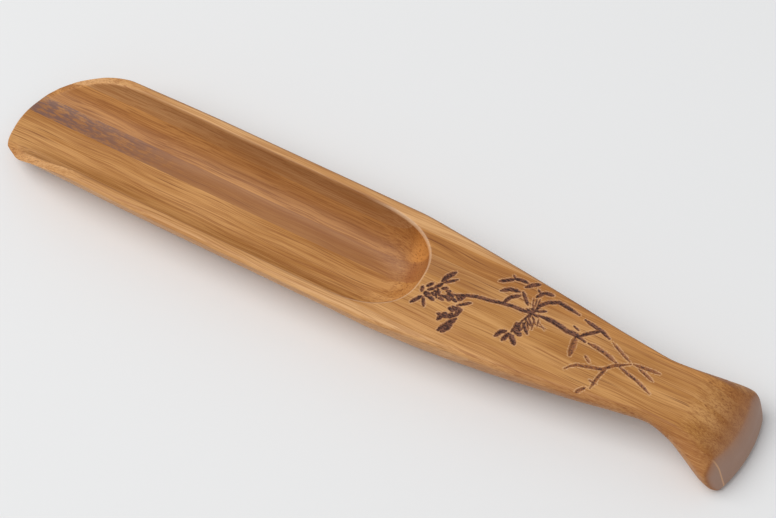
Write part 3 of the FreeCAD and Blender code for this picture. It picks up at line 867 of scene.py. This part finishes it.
def stroke_fields(x, y):
    """At points: how deep the cut is, how strongly it is burnt, and where its edge is torn pale."""
    depth, burn, torn = np.zeros(len(x)), np.zeros(len(x)), np.zeros(len(x))
    for pixels, half_width in strokes:
        points, widths = stroke_path(pixels, half_width)
        low, high = points.min(0) - HALO_REACH, points.max(0) + HALO_REACH
        near = np.nonzero((x > low[0]) & (x < high[0]) & (y > low[1]) & (y < high[1]))[0]
        if not len(near):
            continue
        away = np.hypot(x[near, None] - points[:, 0], y[near, None] - points[:, 1])
        ratio = (away / widths).min(1)
        halo = (away - widths).min(1)
        depth[near] = np.maximum(depth[near], np.clip(1 - ratio, 0, 1))
        dark = np.clip(BURN_REACH - ratio, 0, 1) ** BURN_POWER
        dark = np.maximum(dark, HALO_STRENGTH * np.clip(1 - halo / HALO_REACH, 0, 1) ** HALO_POWER)
        strength = LIGHT_BURN if pixels in lightly_burnt else 1.0
        burn[near] = np.maximum(burn[near], strength * np.minimum(dark, 1))
        edge = np.clip(1 - np.abs(halo - TORN_REACH) / TORN_REACH, 0, 1)
        torn[near] = np.maximum(torn[near], edge)
    return depth, burn, torn * (depth == 0)


print("steps along the stem:", len(stroke_path(*wood_strokes[0])[0]))

# %% [markdown]
# Three attributes of the mesh keep what was learnt: how deep to cut, how dark to burn, where it is torn.
# A painted picture could hold the same, but attributes need no unwrapping and cross the glue lines.

# %% Mark the strokes on the strips
TOP_BAND = 0.4


def mark_strokes(mesh):
    """Stores the fields on a strip's mesh, for the points of its flat top."""
    points = np.empty(len(mesh.vertices) * 3)
    mesh.vertices.foreach_get("co", points)
    points = points.reshape(-1, 3) / MM
    top = points[:, 2] > HEIGHT - TOP_BAND
    fields = np.zeros((3, len(points)))
    fields[:, top] = stroke_fields(points[top, 0], points[top, 1])
    for name, values in zip(("cut", "burn", "torn"), fields):
        attribute = mesh.attributes.new(name, "FLOAT", "POINT")
        attribute.data.foreach_set("value", values.astype(np.float32))
    return int((fields[0] > 0).sum())


for name, mesh in strip_meshes.items():
    print(name, "points in the cuts:", mark_strokes(mesh))

# %% [markdown]
# Bamboo is a bundle of long pale fibres with darker strands between them.
# Heating the strips turns them tan, a little differently in each, and a thin lacquer makes them satin.
# The finish could be drawn node by node in the editor. A few helpers that add and feed nodes
# let it be written as a recipe instead, which can be read and repeated for every strip.

# %% Helpers that add and join nodes
def add_node(tree, kind, **settings):
    """A node with its properties set."""
    node = tree.nodes.new(kind)
    for name, value in settings.items():
        setattr(node, name, value)
    return node


def feed(tree, node, **inputs):
    """Sets or links a node's inputs by name; an underscore stands for a space."""
    for name, value in inputs.items():
        by_number = name[0] == "n" and name[1:].isdigit()
        socket = node.inputs[int(name[1:]) if by_number else name.replace("_", " ")]
        if isinstance(value, bpy.types.NodeSocket):
            tree.links.new(value, socket)
        else:
            socket.default_value = value
    return node.outputs[0]


def maths(tree, operation, a, b=0.0):
    """One step of arithmetic."""
    return feed(tree, add_node(tree, "ShaderNodeMath", operation=operation), n0=a, n1=b)


def product(tree, first, *others):
    """Shares multiplied together, so the result is strong only where all of them are."""
    for other in others:
        first = maths(tree, "MULTIPLY", first, other)
    return first


def split(tree, vector):
    """The three parts of a vector."""
    node = add_node(tree, "ShaderNodeSeparateXYZ")
    feed(tree, node, Vector=vector)
    return list(node.outputs)


print("helpers ready:", add_node.__name__, feed.__name__, maths.__name__, product.__name__)

# %% [markdown]
# A finish stretches its patterns along the fibres and lays one colour over another, again and again.
# These steps get helpers as well, so that a finish reads as a list of what lies where.

# %% Helpers for places and colours
ACROSS_SHIFT = 1.7
UPWARD_SHIFT = 2.3


def stretched(tree, source, along, across, offset):
    """Coordinates in millimetres, drawn out along the strip and moved by an offset."""
    shift = (offset, offset * ACROSS_SHIFT, offset * UPWARD_SHIFT)
    scale = (along / MM, across / MM, across / MM)
    return feed(tree, add_node(tree, "ShaderNodeMapping"), Vector=source, Location=shift, Scale=scale)


def ranged(tree, value, low, high, to_low=0.0, to_high=1.0):
    """A value carried from one range to another and held inside it."""
    node = add_node(tree, "ShaderNodeMapRange", interpolation_type="SMOOTHSTEP")
    return feed(tree, node, Value=value, From_Min=low, From_Max=high, To_Min=to_low, To_Max=to_high)


def within(tree, distance, low, high, to_low=0.0, to_high=1.0):
    """The same for a distance, with its range in millimetres."""
    return ranged(tree, distance, low * MM, high * MM, to_low, to_high)


def blended(tree, share, a, b):
    """Two colours mixed by a share."""
    node = add_node(tree, "ShaderNodeMix", data_type="RGBA")
    feed(tree, node, n0=share, n6=a, n7=b)
    return node.outputs[2]


def laid(tree, colour, over, *shares):
    """A colour with another laid over it, as strongly as all the shares together say."""
    return blended(tree, product(tree, *shares), colour, over)


print("helpers ready:", stretched.__name__, ranged.__name__, blended.__name__, laid.__name__)

# %% [markdown]
# Tones are written as a screen shows them. A shader counts light itself,
# so each is straightened first. Pale, middle and dark are for the wood of a strip,
# and the named ones are for what heat, glue, stain and cutting across the fibres do to it,
# for a darker far wall, and for painted light, shade, highlight and reflection.

# %% The tones
SCREEN_FULL = 255


def tone(*levels):
    """A colour given as the eye sees it, from 0 to 255, as the shader wants it."""
    seen = Color([level / SCREEN_FULL for level in levels])
    return (*seen.from_srgb_to_scene_linear(), 1.0)


END_GRAIN = tone(182, 116, 54)
# A painted greyish reflection of the bright room.
END_REFLECTION = tone(171, 138, 121)
# Painted shade, where the heel's dome and the far shoulder turn away from the light.
PAINTED_EDGE_SHADE = tone(134, 74, 42)
STRAND = tone(104, 54, 26)
SCORCHED = tone(142, 86, 52)
CHARRED = tone(124, 80, 60)
BURNT = tone(60, 36, 31)
DARKER_WALL = tone(118, 64, 26)
# The end wall's orange end grain, with painted light.
END_WALL = tone(212, 140, 66)
# A painted highlight.
RIM_HIGHLIGHT = tone(236, 204, 170)
TORN = tone(226, 184, 140)
STAINED = tone(148, 98, 64)
# Painted shade, on the near flank and in a band across the middle of the trough's end wall.
PAINTED_SHADE = tone(134, 72, 36)
TIP_STAIN = tone(108, 82, 80)
SEAM = tone(220, 172, 128)
EDGE_TONES = tone(218, 168, 114), tone(196, 142, 86), tone(160, 102, 54)
FAR_TONES = tone(204, 146, 84), tone(168, 110, 54), tone(134, 78, 36)
MIDDLE_TONES = tone(208, 154, 94), tone(176, 120, 60), tone(142, 84, 40)
NEAR_TONES = tone(214, 160, 102), tone(184, 128, 70), tone(148, 90, 46)
print("middle tone of the near strips for the shader:", [round(part, 3) for part in NEAR_TONES[1]])

# %% [markdown]
# The fibres of a strip could be a picture wrapped round it, but a picture would not run through
# to the cut ends. Solid noise does. Each pattern has repeats per millimetre along and across,
# a step that gives every strip its own piece, and how rough its detail is.

# %% The patterns along a strip
CLOUDS = (0.03, 0.25, 5.3, 2.0, 0.5)
BANDS = (0.018, 1.5, 7.7, 2.0, 0.5)
STREAKS = (0.05, 4.0, 3.9, 3.0, 0.55)
FIBRES = (0.12, 6.5, 2.9, 3.0, 0.6)
PATCHES = (0.04, 0.6, 4.3, 2.0, 0.5)
DRIFT = (0.05, 0.16, 3.1, 1.0, 0.5)
SWAY = 2.0
STRAND_REPEATS = (0.045, 1.9, 9.1)
STRAND_CORE = (0.1, 0.3, 1.0, 0.0)
STRAND_PATCHES = (0.4, 0.62, 0.25)
SCATTER = 0.9


def pattern(tree, place, settings, seed=1):
    """Noise from 0 to 1, drawn out along the strip."""
    along, across, step, detail, roughness = settings
    where = stretched(tree, place, along, across, seed * step)
    node = add_node(tree, "ShaderNodeTexNoise")
    return feed(tree, node, Vector=where, Scale=1.0, Detail=detail, Roughness=roughness)


def from_core(tree, place, along, across, offset):
    """How far each point lies from the nearest of many scattered strands."""
    node = add_node(tree, "ShaderNodeTexVoronoi", voronoi_dimensions="3D", feature="F1")
    where = stretched(tree, place, along, across, offset)
    feed(tree, node, Vector=where, Scale=1.0, Randomness=SCATTER)
    return node.outputs["Distance"]


def strands_at(tree, place, seed, amount):
    """The dark strands: thin streaks along the strip, dots on a cut end."""
    along, across, step = STRAND_REPEATS
    core = ranged(tree, from_core(tree, place, along, across, seed * step), *STRAND_CORE)
    patches = ranged(tree, pattern(tree, place, PATCHES, seed), *STRAND_PATCHES)
    return product(tree, core, patches, amount)


def swayed(tree, place, seed):
    """Coordinates that wander a little sideways along the strip, as fibres do."""
    drift = maths(tree, "SUBTRACT", pattern(tree, place, DRIFT, seed), 0.5)
    sway = feed(tree, add_node(tree, "ShaderNodeCombineXYZ"), Y=product(tree, drift, SWAY * MM))
    return feed(tree, add_node(tree, "ShaderNodeVectorMath", operation="ADD"), n0=place, n1=sway)


print("fibres per mm across a strip:", FIBRES[1])

# %% [markdown]
# The needle leaves a nearly black core, brown scorched edges and a few pale torn fibres.
# A clean edge would look printed, so a speckle breaks it up before it is turned into shares.

# %% The burnt strokes
SPECKLE = (2.4, 2.4, 3.3, 2.0, 0.6)
COAL_GRAIN = (1.1, 4.0, 8.8, 2.0, 0.5)
SPECKLE_SWING = 1.5
TORN_SPECKLE = (0.4, 0.55, 0.0, 0.9)
SCORCH_RAGGED, SCORCH_BURN, SCORCH_SHARE = (0.1, 0.5), (0.02, 0.3), 0.75
CHAR_RAGGED, CHAR_BURN = (0.45, 0.85), (0.3, 0.5)
COAL_RANGE = (0.42, 0.62)


def kept_field(tree, name):
    """One of the fields stored on the mesh."""
    return add_node(tree, "ShaderNodeAttribute", attribute_name=name).outputs["Fac"]


def burnt_over(tree, colour, place):
    """The colour of the wood with the burnt branch over it, and how charred it is."""
    burn, torn = kept_field(tree, "burn"), kept_field(tree, "torn")
    speckle = pattern(tree, place, SPECKLE)
    swing = product(tree, maths(tree, "SUBTRACT", speckle, 0.5), SPECKLE_SWING)
    ragged = maths(tree, "ADD", burn, swing)
    colour = laid(tree, colour, TORN, torn, ranged(tree, speckle, *TORN_SPECKLE))
    scorch = product(tree, ranged(tree, ragged, *SCORCH_RAGGED), ranged(tree, burn, *SCORCH_BURN))
    colour = laid(tree, colour, SCORCHED, scorch, SCORCH_SHARE)
    char = product(tree, ranged(tree, ragged, *CHAR_RAGGED), ranged(tree, burn, *CHAR_BURN))
    grain = pattern(tree, place, COAL_GRAIN)
    coal = blended(tree, ranged(tree, grain, *COAL_RANGE), BURNT, CHARRED)
    return blended(tree, char, colour, coal), char


print("scorched share at most:", SCORCH_SHARE)

# %% [markdown]
# The trough's far wall is darker, and its end wall, cut across the fibres, shows pores.
# Its orange end grain gets painted light towards the far side and painted shade in a band in the middle,
# a painted highlight runs along the rim, and painted shade lies on the far shoulder and the near flank.
# Painting this by hand would tie it to one unwrapping.
# Ranges of place and direction find the same walls and edges on the solid form.
# Places are in millimetres, the directions are parts of the surface normal.

# %% The trough, the rim and the two flanks
FAR_HALF, TURNED_NEAR = (1.0, 4.0), (-0.2, -0.6)
TROUGH_FROM, TROUGH_TO, TURNED_TO_LIP = (-10.0, -2.0), (14.0, 12.0), (-0.25, -0.6)
DARKER_WALL_ALONG = (-72.0, -30.0, 0.05, 0.36)
DARKER_WALL_ON_END_WALL = (0.0, 1.0, 1.0, 0.3)
RIM_LINE, RIM_LINE_SHARE = (10.8, 11.0), 0.26
LIT_PART = (5.6, 6.6, 0.1, 0.5)
SHADED_FROM, SHADED_TO, SHADED_SHARE = (1.4, 1.8), (6.6, 5.6), 0.5
PORE_REPEATS, PORE_CORE = (0.5, 1.5, 6.1), (0.14, 0.34, 0.55, 0.0)
RIM_INSIDE, RIM_BEND, RIM_LEVEL, RIM_SHARE = (12.6, 12.4), (0.985, 0.93), (12.7, 13.0), 0.34
TURNED_FAR, FAR_EDGE_LEVEL, FAR_EDGE_SHARE = (0.2, 0.6), (10.5, 12.0), 0.5
NEAR_TURN, NEAR_FLANK_ALONG, NEAR_FLANK_SHARE = (-0.1, -0.5), (20.0, 42.0), 0.3


def trough_over(tree, colour, place, normal):
    """The colour with the trough's darker far wall, its pored end wall with painted light and shade, a
    painted highlight on its rim, and painted shade on the far shoulder and the near flank.
    """
    along, across, level = split(tree, place)
    facing, sideways, upward = split(tree, normal)
    far_wall = product(tree, within(tree, across, *FAR_HALF), ranged(tree, sideways, *TURNED_NEAR))
    by_trough = product(tree, within(tree, along, *TROUGH_FROM), within(tree, along, *TROUGH_TO))
    end_wall = product(tree, ranged(tree, facing, *TURNED_TO_LIP), by_trough)
    off_end_wall = ranged(tree, end_wall, *DARKER_WALL_ON_END_WALL)
    # The far wall darker, fading out towards the lip and off the end wall.
    colour = laid(tree, colour, DARKER_WALL, far_wall, within(tree, along, *DARKER_WALL_ALONG), off_end_wall)
    colour = laid(tree, colour, DARKER_WALL, far_wall, within(tree, across, *RIM_LINE), RIM_LINE_SHARE)
    # The end wall's orange end grain, painted lighter towards its far side as painted light.
    colour = laid(tree, colour, END_WALL, end_wall, within(tree, across, *LIT_PART))
    # Painted shade in a band across the middle of the end wall.
    shaded_part = product(tree, within(tree, across, *SHADED_FROM), within(tree, across, *SHADED_TO))
    colour = laid(tree, colour, PAINTED_SHADE, end_wall, shaded_part, SHADED_SHARE)
    pores = ranged(tree, from_core(tree, place, *PORE_REPEATS), *PORE_CORE)
    colour = laid(tree, colour, STRAND, end_wall, pores)
    # A painted highlight along the trough's rounded rim.
    inner = within(tree, maths(tree, "ABSOLUTE", across), *RIM_INSIDE)
    bent = product(tree, ranged(tree, upward, *RIM_BEND), within(tree, level, *RIM_LEVEL))
    colour = laid(tree, colour, RIM_HIGHLIGHT, inner, bent, by_trough, RIM_SHARE)
    # Painted shade along the far shoulder, where it turns away from the light.
    far_edge = product(tree, ranged(tree, sideways, *TURNED_FAR), within(tree, level, *FAR_EDGE_LEVEL))
    colour = laid(tree, colour, PAINTED_EDGE_SHADE, far_edge, FAR_EDGE_SHARE)
    # Painted shade on surfaces turned to the near side along the handle and the heel.
    shaded_near_flank = product(tree, ranged(tree, sideways, *NEAR_TURN), within(tree, along, *NEAR_FLANK_ALONG))
    return laid(tree, colour, PAINTED_SHADE, shaded_near_flank, NEAR_FLANK_SHARE)


print("far wall darkened from mm:", FAR_HALF[0], "to full at", FAR_HALF[1])

# %% [markdown]
# Ends cut across the fibres drink the lacquer and dull. The heel's dome gets painted shade where it turns
# away from the light, and the heel's end a painted greyish reflection of the bright room.
# One strip in the middle is stained: grey at the lip, brown in the trough, gone before the heel.
# The stain stops at the glue lines, so it belongs to that strip's finish and needs no mask.

# %% The cut ends and the stained strip
END_TURN, END_SHARE = (0.3, 0.95), 0.3
HEEL_FROM = (72.0, 84.0)
RIDGE_TURN, END_REFLECTION_TURN, END_REFLECTION_SHARE = (0.3, 0.62, 0.0, 0.45), (0.52, 0.88), 0.85
SEAM_AT, SEAM_SPREAD = -7.7, (0.1, 0.25, 0.75, 0.0)
BROWN_ALONG = (40.0, -20.0, 0.08, 0.65)
GREY_ALONG, GREY_SPECKLE, GREY_SHARE = (-40.0, -82.0), (0.38, 0.56), 0.75
STAIN_SPECKLE = (0.35, 1.5, 4.4, 3.0, 0.7)


def ends_over(tree, colour, place, normal):
    """The colour with end grain where the wood is cut across, painted shade on the heel's dome and a painted
    reflection on its end.
    """
    along, across = split(tree, place)[:2]
    facing = split(tree, normal)[0]
    cut_across = ranged(tree, maths(tree, "ABSOLUTE", facing), *END_TURN)
    colour = laid(tree, colour, END_GRAIN, cut_across, END_SHARE)
    at_heel = within(tree, along, *HEEL_FROM)
    # Painted shade on the heel's dome where it turns away from the light.
    colour = laid(tree, colour, PAINTED_EDGE_SHADE, at_heel, ranged(tree, facing, *RIDGE_TURN))
    # A painted greyish reflection of the bright room on the heel's end.
    end = product(tree, at_heel, ranged(tree, facing, *END_REFLECTION_TURN))
    colour = laid(tree, colour, END_REFLECTION, end, END_REFLECTION_SHARE)
    from_seam = maths(tree, "ABSOLUTE", maths(tree, "SUBTRACT", across, SEAM_AT * MM))
    return laid(tree, colour, SEAM, end, within(tree, from_seam, *SEAM_SPREAD))


def stained_over(tree, colour, place):
    """The dark strip's stain: grey at the lip, brown in the trough and gone before the heel."""
    along = split(tree, place)[0]
    colour = laid(tree, colour, STAINED, within(tree, along, *BROWN_ALONG))
    speckle = ranged(tree, pattern(tree, place, STAIN_SPECKLE), *GREY_SPECKLE)
    return laid(tree, colour, TIP_STAIN, within(tree, along, *GREY_ALONG), speckle, GREY_SHARE)


print("glue line on the heel's end at mm:", SEAM_AT)

# %% [markdown]
# A strip is pale wood with darker bands, streaks and fibres laid over it one after another.
# One noise could be spread over many tones, but then wide and fine marks would follow each other.

# %% The wood of a strip
CLOUD_RANGE = (0.32, 0.68)
DARK, PALE = 2, 0
FIBRE_LAYERS = [
    (BANDS, 0.48, 0.64, 0.35, DARK),
    (STREAKS, 0.52, 0.62, 0.5, DARK),
    (STREAKS, 0.44, 0.34, 0.55, PALE),
    (FIBRES, 0.54, 0.68, 0.45, DARK),
    (FIBRES, 0.44, 0.3, 0.35, PALE),
]


def wood_colour(tree, place, seed, tones, strand, patterns):
    """The three tones of a strip, laid along its fibres."""
    clouds = pattern(tree, place, CLOUDS, seed)
    colour = blended(tree, ranged(tree, clouds, *CLOUD_RANGE), tones[0], tones[1])
    for settings, low, high, share, which in FIBRE_LAYERS:
        colour = laid(tree, colour, tones[which], ranged(tree, patterns[settings], low, high, 0.0, share))
    return laid(tree, colour, STRAND, strand)


print("layers over the pale wood:", len(FIBRE_LAYERS))

# %% [markdown]
# The lacquer is thin and rubbed, so it shines softly, and burnt wood is duller still.
# The fibres stand up a few hundredths of a millimetre, which is too fine for a mesh
# and is left to a bump.

# %% One finish
ROUGHNESS, FIBRE_ROUGHNESS, CHAR_ROUGHNESS = 0.36, 0.25, 0.2
SHINE, LACQUER, LACQUER_ROUGHNESS = 0.22, 0.06, 0.3
RELIEF_STRENGTH, RELIEF_DEPTH = 0.4, 0.05


def bamboo(name, seed, tones, strand_amount, stained=False):
    """A finish for one strip: three tones, how strongly its dark strands show, and any stain."""
    material = bpy.data.materials.new(name)
    material.use_nodes = True
    tree = material.node_tree
    shader = tree.nodes["Principled BSDF"]
    place = add_node(tree, "ShaderNodeTexCoord").outputs["Object"]
    normal = add_node(tree, "ShaderNodeNewGeometry").outputs["Normal"]
    wander = swayed(tree, place, seed)
    patterns = {settings: pattern(tree, wander, settings, seed) for settings in (BANDS, STREAKS, FIBRES)}
    strand = strands_at(tree, wander, seed, strand_amount)
    colour = wood_colour(tree, wander, seed, tones, strand, patterns)
    if stained:
        colour = stained_over(tree, colour, place)
    colour = trough_over(tree, colour, place, normal)
    colour = ends_over(tree, colour, place, normal)
    colour, char = burnt_over(tree, colour, place)
    by_fibre = product(tree, patterns[FIBRES], FIBRE_ROUGHNESS)
    worn = maths(tree, "ADD", by_fibre, product(tree, char, CHAR_ROUGHNESS))
    relief = maths(tree, "SUBTRACT", maths(tree, "ADD", patterns[FIBRES], patterns[STREAKS]), strand)
    bump = add_node(tree, "ShaderNodeBump")
    raised = feed(tree, bump, Strength=RELIEF_STRENGTH, Distance=RELIEF_DEPTH * MM, Height=relief)
    feed(tree, shader, Base_Color=colour, Roughness=maths(tree, "ADD", worn, ROUGHNESS), Normal=raised,
         Specular_IOR_Level=SHINE, Coat_Weight=LACQUER, Coat_Roughness=LACQUER_ROUGHNESS)
    return material


print("relief of the fibres in mm:", RELIEF_DEPTH)

# %% [markdown]
# The strips come from different stalks. One finish for all would hide the glue lines,
# so each gets its own piece of the patterns, its own tones and its own share of dark strands.

# %% A finish for each strip
finishes = {
    "near_edge_strip": bamboo("near_edge_bamboo", 1, EDGE_TONES, 0.4),
    "near_wall_strip": bamboo("near_wall_bamboo", 2, NEAR_TONES, 0.5),
    "near_heel_block": bamboo("near_heel_bamboo", 3, NEAR_TONES, 0.6),
    "near_floor_strip": bamboo("near_floor_bamboo", 4, MIDDLE_TONES, 0.6),
    "centre_strip": bamboo("centre_bamboo", 5, MIDDLE_TONES, 0.65),
    "dark_strip": bamboo("dark_bamboo", 6, MIDDLE_TONES, 0.8, True),
    "far_wall_strip": bamboo("far_wall_bamboo", 7, FAR_TONES, 0.55),
    "far_edge_strip": bamboo("far_edge_bamboo", 8, EDGE_TONES, 0.45),
}
print("finishes:", len(finishes))

# %% [markdown]
# The cuts follow the strokes over a surface. Displacement in the finish would not show
# in an exported mesh, so this is a job for Geometry Nodes:
# a small tree lowers each point by the cut's depth times the stored share, and sets the finish.

# %% The tree that lowers a surface
CUT_DEPTH = 0.3


def cutting_tree():
    """A node tree that lowers a surface where its stored cut says."""
    tree = bpy.data.node_groups.new("cut_strokes", "GeometryNodeTree")
    face = tree.interface
    face.new_socket("Surface", in_out="INPUT", socket_type="NodeSocketGeometry")
    face.new_socket("Depth", in_out="INPUT", socket_type="NodeSocketFloat")
    face.new_socket("Finish", in_out="INPUT", socket_type="NodeSocketMaterial")
    face.new_socket("Surface", in_out="OUTPUT", socket_type="NodeSocketGeometry")
    given, result = add_node(tree, "NodeGroupInput"), add_node(tree, "NodeGroupOutput")
    cut = add_node(tree, "GeometryNodeInputNamedAttribute", data_type="FLOAT")
    cut.inputs["Name"].default_value = "cut"
    lower = product(tree, cut.outputs["Attribute"], given.outputs["Depth"], -1.0)
    down = feed(tree, add_node(tree, "ShaderNodeCombineXYZ"), Z=lower)
    lowering = add_node(tree, "GeometryNodeSetPosition")
    moved = feed(tree, lowering, Geometry=given.outputs["Surface"], Offset=down)
    plain = feed(tree, add_node(tree, "GeometryNodeRealizeInstances"), Geometry=moved)
    dressing = add_node(tree, "GeometryNodeSetMaterial")
    dressed = feed(tree, dressing, Geometry=plain, Material=given.outputs["Finish"])
    tree.links.new(dressed, result.inputs[0])
    return tree


tree = cutting_tree()
print("the cutting tree has", len(tree.nodes), "nodes")

# %% [markdown]
# Each strip's mesh goes through the tree, the result is made a plain mesh, and the modifier goes.
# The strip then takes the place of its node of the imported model.

# %% Cut the branch into the strips
def carved_strip(name, mesh, tree):
    """A finished strip: its mesh with the branch cut in, standing for the CAD node."""
    source = bpy.data.objects.new(name + "_blank", mesh)
    bpy.context.scene.collection.objects.link(source)
    modifier = source.modifiers.new("cut", "NODES")
    modifier.node_group = tree
    given = [item for item in tree.interface.items_tree if item.in_out == "INPUT"]
    identifiers = {item.name: item.identifier for item in given}
    modifier[identifiers["Depth"]] = CUT_DEPTH * MM
    modifier[identifiers["Finish"]] = finishes[name]
    view = bpy.context.evaluated_depsgraph_get()
    result = bpy.data.meshes.new_from_object(source.evaluated_get(view), depsgraph=view)
    bpy.data.objects.remove(source)
    strip = bpy.data.objects.new("carved_" + name, result)
    bpy.context.scene.collection.objects.link(strip)
    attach(strip, "root")
    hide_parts(name)
    return strip


for name, mesh in strip_meshes.items():
    strip = carved_strip(name, mesh, tree)
    print(strip.name, "points", len(strip.data.vertices), "finish", strip.data.materials[0].name)

# %% [markdown]
# The scoop lies on a plain pale table. A paper backdrop would curve up behind it,
# but from this height only the level part is seen, so one large square is enough.

# %% The table
FLOOR_HALF = 3.0
FLOOR_TONE = tone(233, 233, 233)
FLOOR_ROUGHNESS = 0.8
FLOOR_SHINE = 0.2


def floor_finish():
    """A matt pale finish, nearly white."""
    material = bpy.data.materials.new("pale_table")
    material.use_nodes = True
    shader = material.node_tree.nodes["Principled BSDF"]
    feed(material.node_tree, shader, Base_Color=FLOOR_TONE, Roughness=FLOOR_ROUGHNESS,
         Specular_IOR_Level=FLOOR_SHINE)
    return material


corners = [(-FLOOR_HALF, -FLOOR_HALF, 0), (FLOOR_HALF, -FLOOR_HALF, 0),
           (FLOOR_HALF, FLOOR_HALF, 0), (-FLOOR_HALF, FLOOR_HALF, 0)]
floor_mesh = bpy.data.meshes.new("table")
floor_mesh.from_pydata(corners, [], [(0, 1, 2, 3)])
floor_mesh.materials.append(floor_finish())
floor = bpy.data.objects.new("table", floor_mesh)
bpy.context.scene.collection.objects.link(floor)


print("table in m:", 2 * FLOOR_HALF, "square")

# %% [markdown]
# The light is soft: a large lamp high above the lip's end and a little to the near side,
# and a bright room all round that fills the shadows.
# A sun lamp would draw a hard dark edge, which the photograph doesn't have.

# %% The light
WINDOW_PLACE = (-1.15, -0.7, 2.05)
WINDOW_SIZE = 2.0
WINDOW_POWER = 46.0
ROOM_COLOUR = (0.97, 0.985, 1.0, 1.0)
ROOM_STRENGTH = 0.475
window = bpy.data.objects.new("window", bpy.data.lights.new("window", "AREA"))
window.data.size, window.data.energy = WINDOW_SIZE, WINDOW_POWER
window.location = WINDOW_PLACE
window.rotation_euler = (-Vector(WINDOW_PLACE)).to_track_quat("-Z", "Y").to_euler()
bpy.context.scene.collection.objects.link(window)
world = bpy.data.worlds.new("room")
world.use_nodes = True
feed(world.node_tree, world.node_tree.nodes["Background"], Color=ROOM_COLOUR, Strength=ROOM_STRENGTH)
bpy.context.scene.world = world
bpy.context.scene.view_settings.view_transform = "Standard"
print("lamp in m:", WINDOW_PLACE, "power in W:", WINDOW_POWER)
